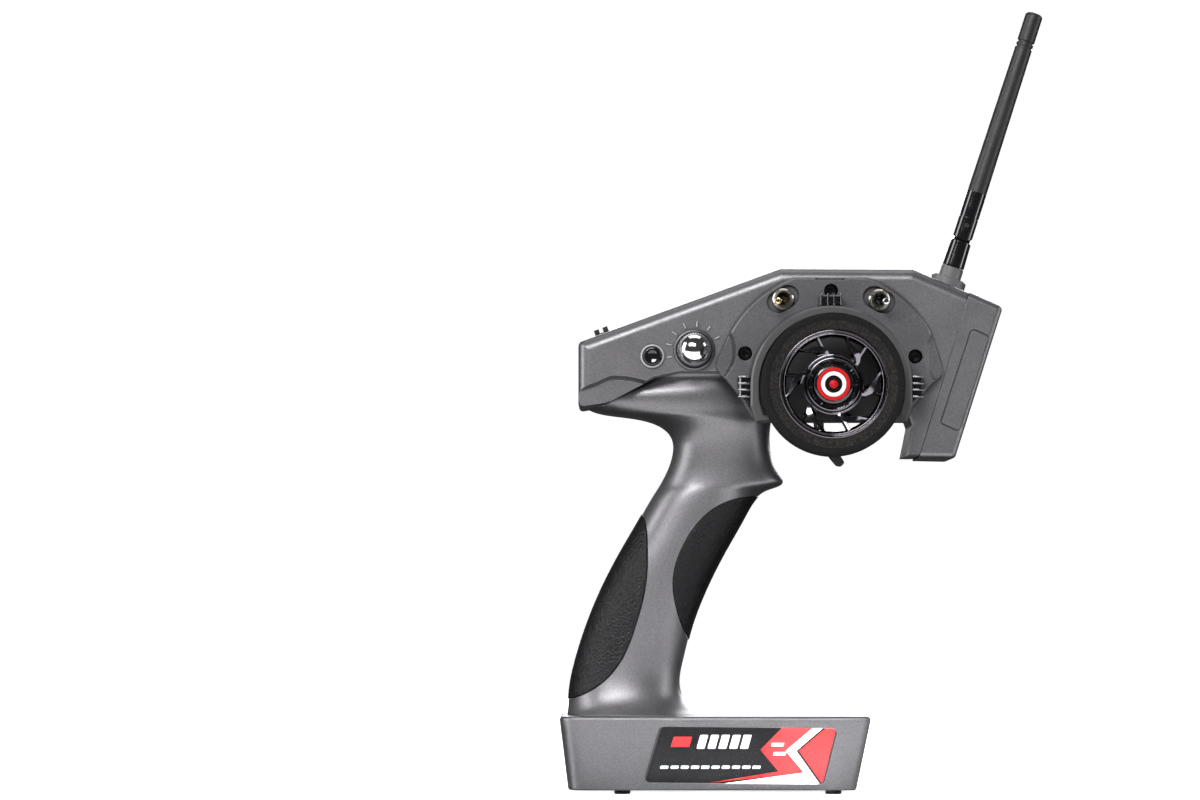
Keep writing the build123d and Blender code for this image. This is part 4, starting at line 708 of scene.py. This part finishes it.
def make_pad(node):
    """A rubber pad in the CAD pad's place, with rounded borders and raised pebbles."""
    mesh = nodes[node].data.copy()
    obj = bpy.data.objects.new(node.replace("grip_pad", "pad"), mesh)
    scene.collection.objects.link(obj)
    remesh = obj.modifiers.new("remesh", "REMESH")
    remesh.mode = "VOXEL"
    remesh.voxel_size = PAD_VOXEL * MM
    smooth = obj.modifiers.new("smooth", "SMOOTH")
    smooth.factor = 0.5
    smooth.iterations = 4
    depsgraph = bpy.context.evaluated_depsgraph_get()
    shape = bpy.data.meshes.new_from_object(obj.evaluated_get(depsgraph))
    obj.modifiers.clear()
    obj.data = shape
    normals = [vertex.normal.copy() for vertex in shape.vertices]
    for vertex, normal in zip(shape.vertices, normals):
        distances, _ = noise.voronoi(vertex.co / (PEBBLE * MM))
        crease = min(distances[1] - distances[0], CREASE) / CREASE
        vertex.co += normal * (crease ** 0.7 - CREASE_LEVEL) * PEBBLE_RISE * MM
    shape.polygons.foreach_set("use_smooth", [True] * len(shape.polygons))
    shape.materials.clear()
    shape.materials.append(LOOKS["rubber"])
    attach(obj, "case")
    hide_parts(node)


# ---- Base label ----------------------------------------------------------------------------------
def clip_polygon(points, border):
    """The part of a polygon inside a convex anticlockwise border."""
    out = points
    for start, end in zip(border, border[1:] + border[:1]):
        edge = end - start
        source, out = out, []
        for here, after in zip(source, source[1:] + source[:1]):
            inside = edge.cross(here - start) >= 0
            next_inside = edge.cross(after - start) >= 0
            if inside:
                out.append(here)
            if inside != next_inside:
                t = edge.cross(start - here) / edge.cross(after - here)
                out.append(here + (after - here) * t)
        if not out:
            return []
    return out


def rounded_border(corners, radius, steps=6):
    out = []
    count = len(corners)
    for index, here in enumerate(corners):
        before, after = corners[index - 1], corners[(index + 1) % count]
        start = here + (before - here).normalized() * radius
        end = here + (after - here).normalized() * radius
        for step in range(steps + 1):
            t = step / steps
            out.append(start * (1 - t) ** 2 + here * 2 * t * (1 - t) + end * t ** 2)
    return out


LEFT_SLANT = 6.6  # how far the label's left end leans, over its height
RIGHT_SLANT = 5.6
LABEL_CORNER = 2.2
BLOCK_CORNER = 0.35
ARROW_LIFT = 0.06  # how far the print stands proud of the label
BLOCK_LIFT = 0.09
PRINT_DEPTH = 0.05  # how far the print reaches into the label
# Outlines on the label, as shares of its width and height.
RED_ARROW = [(0.695, 1.0), (0.870, 1.0), (0.745, 0.58), (0.880, 0.20), (0.36, 0.02), (0.735, 0.22),
             (0.600, 0.60)]
WHITE_ARROW = [(0.870, 1.0), (0.930, 1.0), (0.805, 0.58), (0.985, 0.0), (0.42, 0.0), (0.880, 0.20),
               (0.745, 0.58)]
RED_WEDGE = [(0.945, 1.0), (1.02, 1.0), (1.02, 0.0), (1.0, 0.0), (0.820, 0.58)]


def label_blocks():
    """Plain blocks and bars, each (left, right, bottom, top, look), as shares of the label."""
    blocks = [(0.085, 0.190, 0.65, 0.83, RED_PRINT)]
    blocks += [(0.235 + bar * 0.062, 0.279 + bar * 0.062, 0.62, 0.86, WHITE_PRINT) for bar in range(5)]
    blocks += [(0.060 + dash * 0.058, 0.104 + dash * 0.058, 0.27, 0.32, WHITE_PRINT) for dash in range(10)]
    blocks += [(0.655 + bar * 0.025, 0.725 + bar * 0.025, 0.66 - bar * 0.16, 0.72 - bar * 0.16, WHITE_PRINT)
               for bar in range(2)]
    return blocks


def make_label():
    """A slanted plaque on the base's side: black, with red and white angular arrows and no lettering."""
    low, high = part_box("base_label")
    slant = LEFT_SLANT * MM
    right_slant = RIGHT_SLANT * MM
    corners = [Vector((low.x, low.z)), Vector((high.x - right_slant, low.z)), Vector((high.x, high.z)),
               Vector((low.x + slant, high.z))]
    border = rounded_border(corners, LABEL_CORNER * MM)
    height = high.z - low.z

    def at(s, t):
        """A point s along the plaque and t up it, both 0 to 1, between its slanted ends."""
        left = low.x + slant * t
        right = high.x - right_slant * (1 - t)
        return Vector((left + (right - left) * s, low.z + height * t))

    def plaque(name, points, lift, thickness, look):
        shape = clip_polygon(points, border)
        bm = bmesh.new()
        y_front, y_back = low.y - lift * MM, low.y + thickness * MM
        front = [bm.verts.new((p.x, y_front, p.y)) for p in shape]
        back = [bm.verts.new((p.x, y_back, p.y)) for p in shape]
        for index in range(len(shape)):
            after = (index + 1) % len(shape)
            bm.faces.new([front[index], front[after], back[after], back[index]])
        bm.faces.new(front)
        bm.faces.new(list(reversed(back)))
        return finish_mesh(name, bm, look, "case")

    base = plaque("label_plaque", border, 0.0, (high.y - low.y) / MM, LOOKS["label"])
    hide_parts("base_label")
    arrows = (("label_red_left", RED_ARROW, RED_PRINT), ("label_white", WHITE_ARROW, WHITE_PRINT),
              ("label_red_right", RED_WEDGE, RED_PRINT))
    for name, outline, look in arrows:
        plaque(name, [at(s, t) for s, t in outline], ARROW_LIFT, PRINT_DEPTH, look)
    for index, (left, right, bottom, top, look) in enumerate(label_blocks()):
        outline = [at(left, bottom), at(right, bottom), at(right, top), at(left, top)]
        shape = rounded_border(outline, BLOCK_CORNER * MM, 3)
        plaque(f"label_block_{index + 1}", shape, BLOCK_LIFT, PRINT_DEPTH, look)


# ---- Display -------------------------------------------------------------------------------------
GLASS_LEVEL = -0.62  # below the middle of the lens
INK_LEVEL = -0.58
# The seven strokes of a symbol, each (up, across, size up, size across).
STROKES = ((3.6, 0, 0.7, 3.4), (1.8, -1.9, 3.0, 0.7), (1.8, 1.9, 3.0, 0.7), (0, 0, 0.7, 3.4),
           (-1.8, -1.9, 3.0, 0.7), (-1.8, 1.9, 3.0, 0.7), (-3.6, 0, 0.7, 3.4))
SYMBOLS = ((2.2, (1, 1, 1, 0, 1, 1, 1)), (8.6, (1, 0, 1, 1, 1, 0, 1)))  # place across, strokes shown


def make_display():
    """What the display shows: a frame, two bar gauges and small blocks of generic symbols."""
    origin = middle("display_lens")
    up = Vector(joint("power_slide")["axis"])
    across = Vector((0, 1, 0))
    out = up.cross(across)
    if out.z < 0:
        out = -out

    def patch(bm, u, v, size_u, size_v, height=INK_LEVEL):
        corners = []
        for du, dv in ((-1, -1), (1, -1), (1, 1), (-1, 1)):
            point = origin + up * (u + du * size_u / 2) * MM + across * (v + dv * size_v / 2) * MM
            corners.append(bm.verts.new(point + out * height * MM))
        bm.faces.new(corners)

    glass = bmesh.new()
    patch(glass, 0, 0, 23.4, 32.4, GLASS_LEVEL)
    finish_mesh("display_glass", glass, DISPLAY_GLASS, "case")
    ink = bmesh.new()
    for v in (-15.4, 15.4):
        patch(ink, 0, v, 22.0, 0.25)
    for u in (-11.0, 5.2, 11.0):
        patch(ink, u, 0, 0.25, 31.0)
    for side in (-1, 1):
        for bar in range(9):
            patch(ink, -8.6, side * (2.0 + bar * 1.4), 2.6, 0.9)
        for block in range(3):
            patch(ink, 8.0, side * (3.0 + block * 4.2), 2.4, 2.6)
    for bar in range(5):
        patch(ink, -3.8 + bar * 1.1, -9.0, 0.6, 3.0 + bar * 1.6)
    for v, on in SYMBOLS:
        for shown, (u, dv, size_u, size_v) in zip(on, STROKES):
            if shown:
                patch(ink, u - 1.4, v + dv, size_u, size_v)
    finish_mesh("display_ink", ink, DISPLAY_INK, "case")


# ---- Surroundings --------------------------------------------------------------------------------
OBJECT_MIDDLE = (0, 0, 0.15)
LIGHTS = [  # name, place, size, watts
    ("front_top", (-0.50, -1.45, 1.10), (1.2, 0.5), 30),
    ("left_side", (-1.35, -0.25, 0.45), (0.5, 1.3), 12),
    ("right_side", (1.35, -0.20, 0.45), (0.4, 1.2), 7),
    ("top", (0, 0.35, 1.7), (1.4, 1.0), 7),
    ("back", (0.35, 1.9, 0.75), (1.4, 0.9), 26),
]
WORLD_LIGHT = 0.05
FLOOR_LIGHT = 0.90
FLOOR_FLAT = 3200  # radius of the floor's flat part, mm
FLOOR_RISE = 1800  # radius of the curve up to its wall
WALL_TOP = 4200
CURVE_STEPS = 12


def add_light(name, place, size, power, aim=OBJECT_MIDDLE):
    data = bpy.data.lights.new(name, "AREA")
    data.shape = "RECTANGLE"
    data.size, data.size_y = size
    data.energy = power
    light = bpy.data.objects.new(name, data)
    light.location = place
    light.rotation_euler = (Vector(aim) - Vector(place)).to_track_quat("-Z", "Y").to_euler()
    scene.collection.objects.link(light)
    return light


def make_floor():
    """A white floor that curves up far away on every side."""
    look = Look("stage_white", (0.90, 0.90, 0.90), 0.9, specular=0.1)
    look.set("Emission Color", (1, 1, 1, 1))
    look.set("Emission Strength", FLOOR_LIGHT)
    look.vary_color(look.noise(400, 2), (0.895, 0.895, 0.895), (0.905, 0.905, 0.905))
    bm = bmesh.new()
    profile = [(0, 0), (1500, 0), (FLOOR_FLAT, 0)]
    for step in range(1, CURVE_STEPS + 1):
        turn = math.radians(step * 90 / CURVE_STEPS)
        profile.append((FLOOR_FLAT + FLOOR_RISE * math.sin(turn), FLOOR_RISE * (1 - math.cos(turn))))
    profile.append((FLOOR_FLAT + FLOOR_RISE, WALL_TOP))
    add_turned(bm, profile, Vector((0, 0, 0)), Vector((0, 0, 1)), 96)
    bmesh.ops.recalc_face_normals(bm, faces=bm.faces)
    mesh = bpy.data.meshes.new("floor")
    bm.to_mesh(mesh)
    bm.free()
    mesh.polygons.foreach_set("use_smooth", [True] * len(mesh.polygons))
    mesh.materials.append(look.material)
    floor = bpy.data.objects.new("floor", mesh)
    scene.collection.objects.link(floor)
    floor.visible_diffuse = False
    floor.visible_glossy = False


def make_lights():
    """Soft boxes above and on every side; those that would burn spots into the gloss don't show in it."""
    world = bpy.data.worlds.new("world")
    world.use_nodes = True
    background = world.node_tree.nodes["Background"]
    background.inputs["Color"].default_value = (1, 1, 1, 1)
    background.inputs["Strength"].default_value = WORLD_LIGHT
    scene.world = world
    for name, place, size, power in LIGHTS:
        add_light(name, place, size, power)
    fill = add_light("fill", (0.0, -2.3, 0.5), (1.6, 1.2), 27)
    low = add_light("low", (0.1, -1.6, 0.10), (0.3, 0.1), 1.2, (0.05, 0, -0.09))
    low.data.spread = math.radians(16)
    for light in (fill, low):
        light.visible_glossy = False
        light.visible_camera = False
    glow = add_light("table_glow", (0, -0.32, 0.004), (2.0, 0.5), 6, (0, -0.32, 1))
    glow.visible_camera = False
    glow.visible_diffuse = False
    scene.view_settings.view_transform = "Standard"


make_camera()
paint_nodes()
make_wheel()
make_clip_ribs()
make_knob()
make_push_button()
make_toggles()
for pad in ("grip_pad_rear", "grip_pad_front"):
    make_pad(pad)
make_label()
make_display()
make_floor()
make_lights()
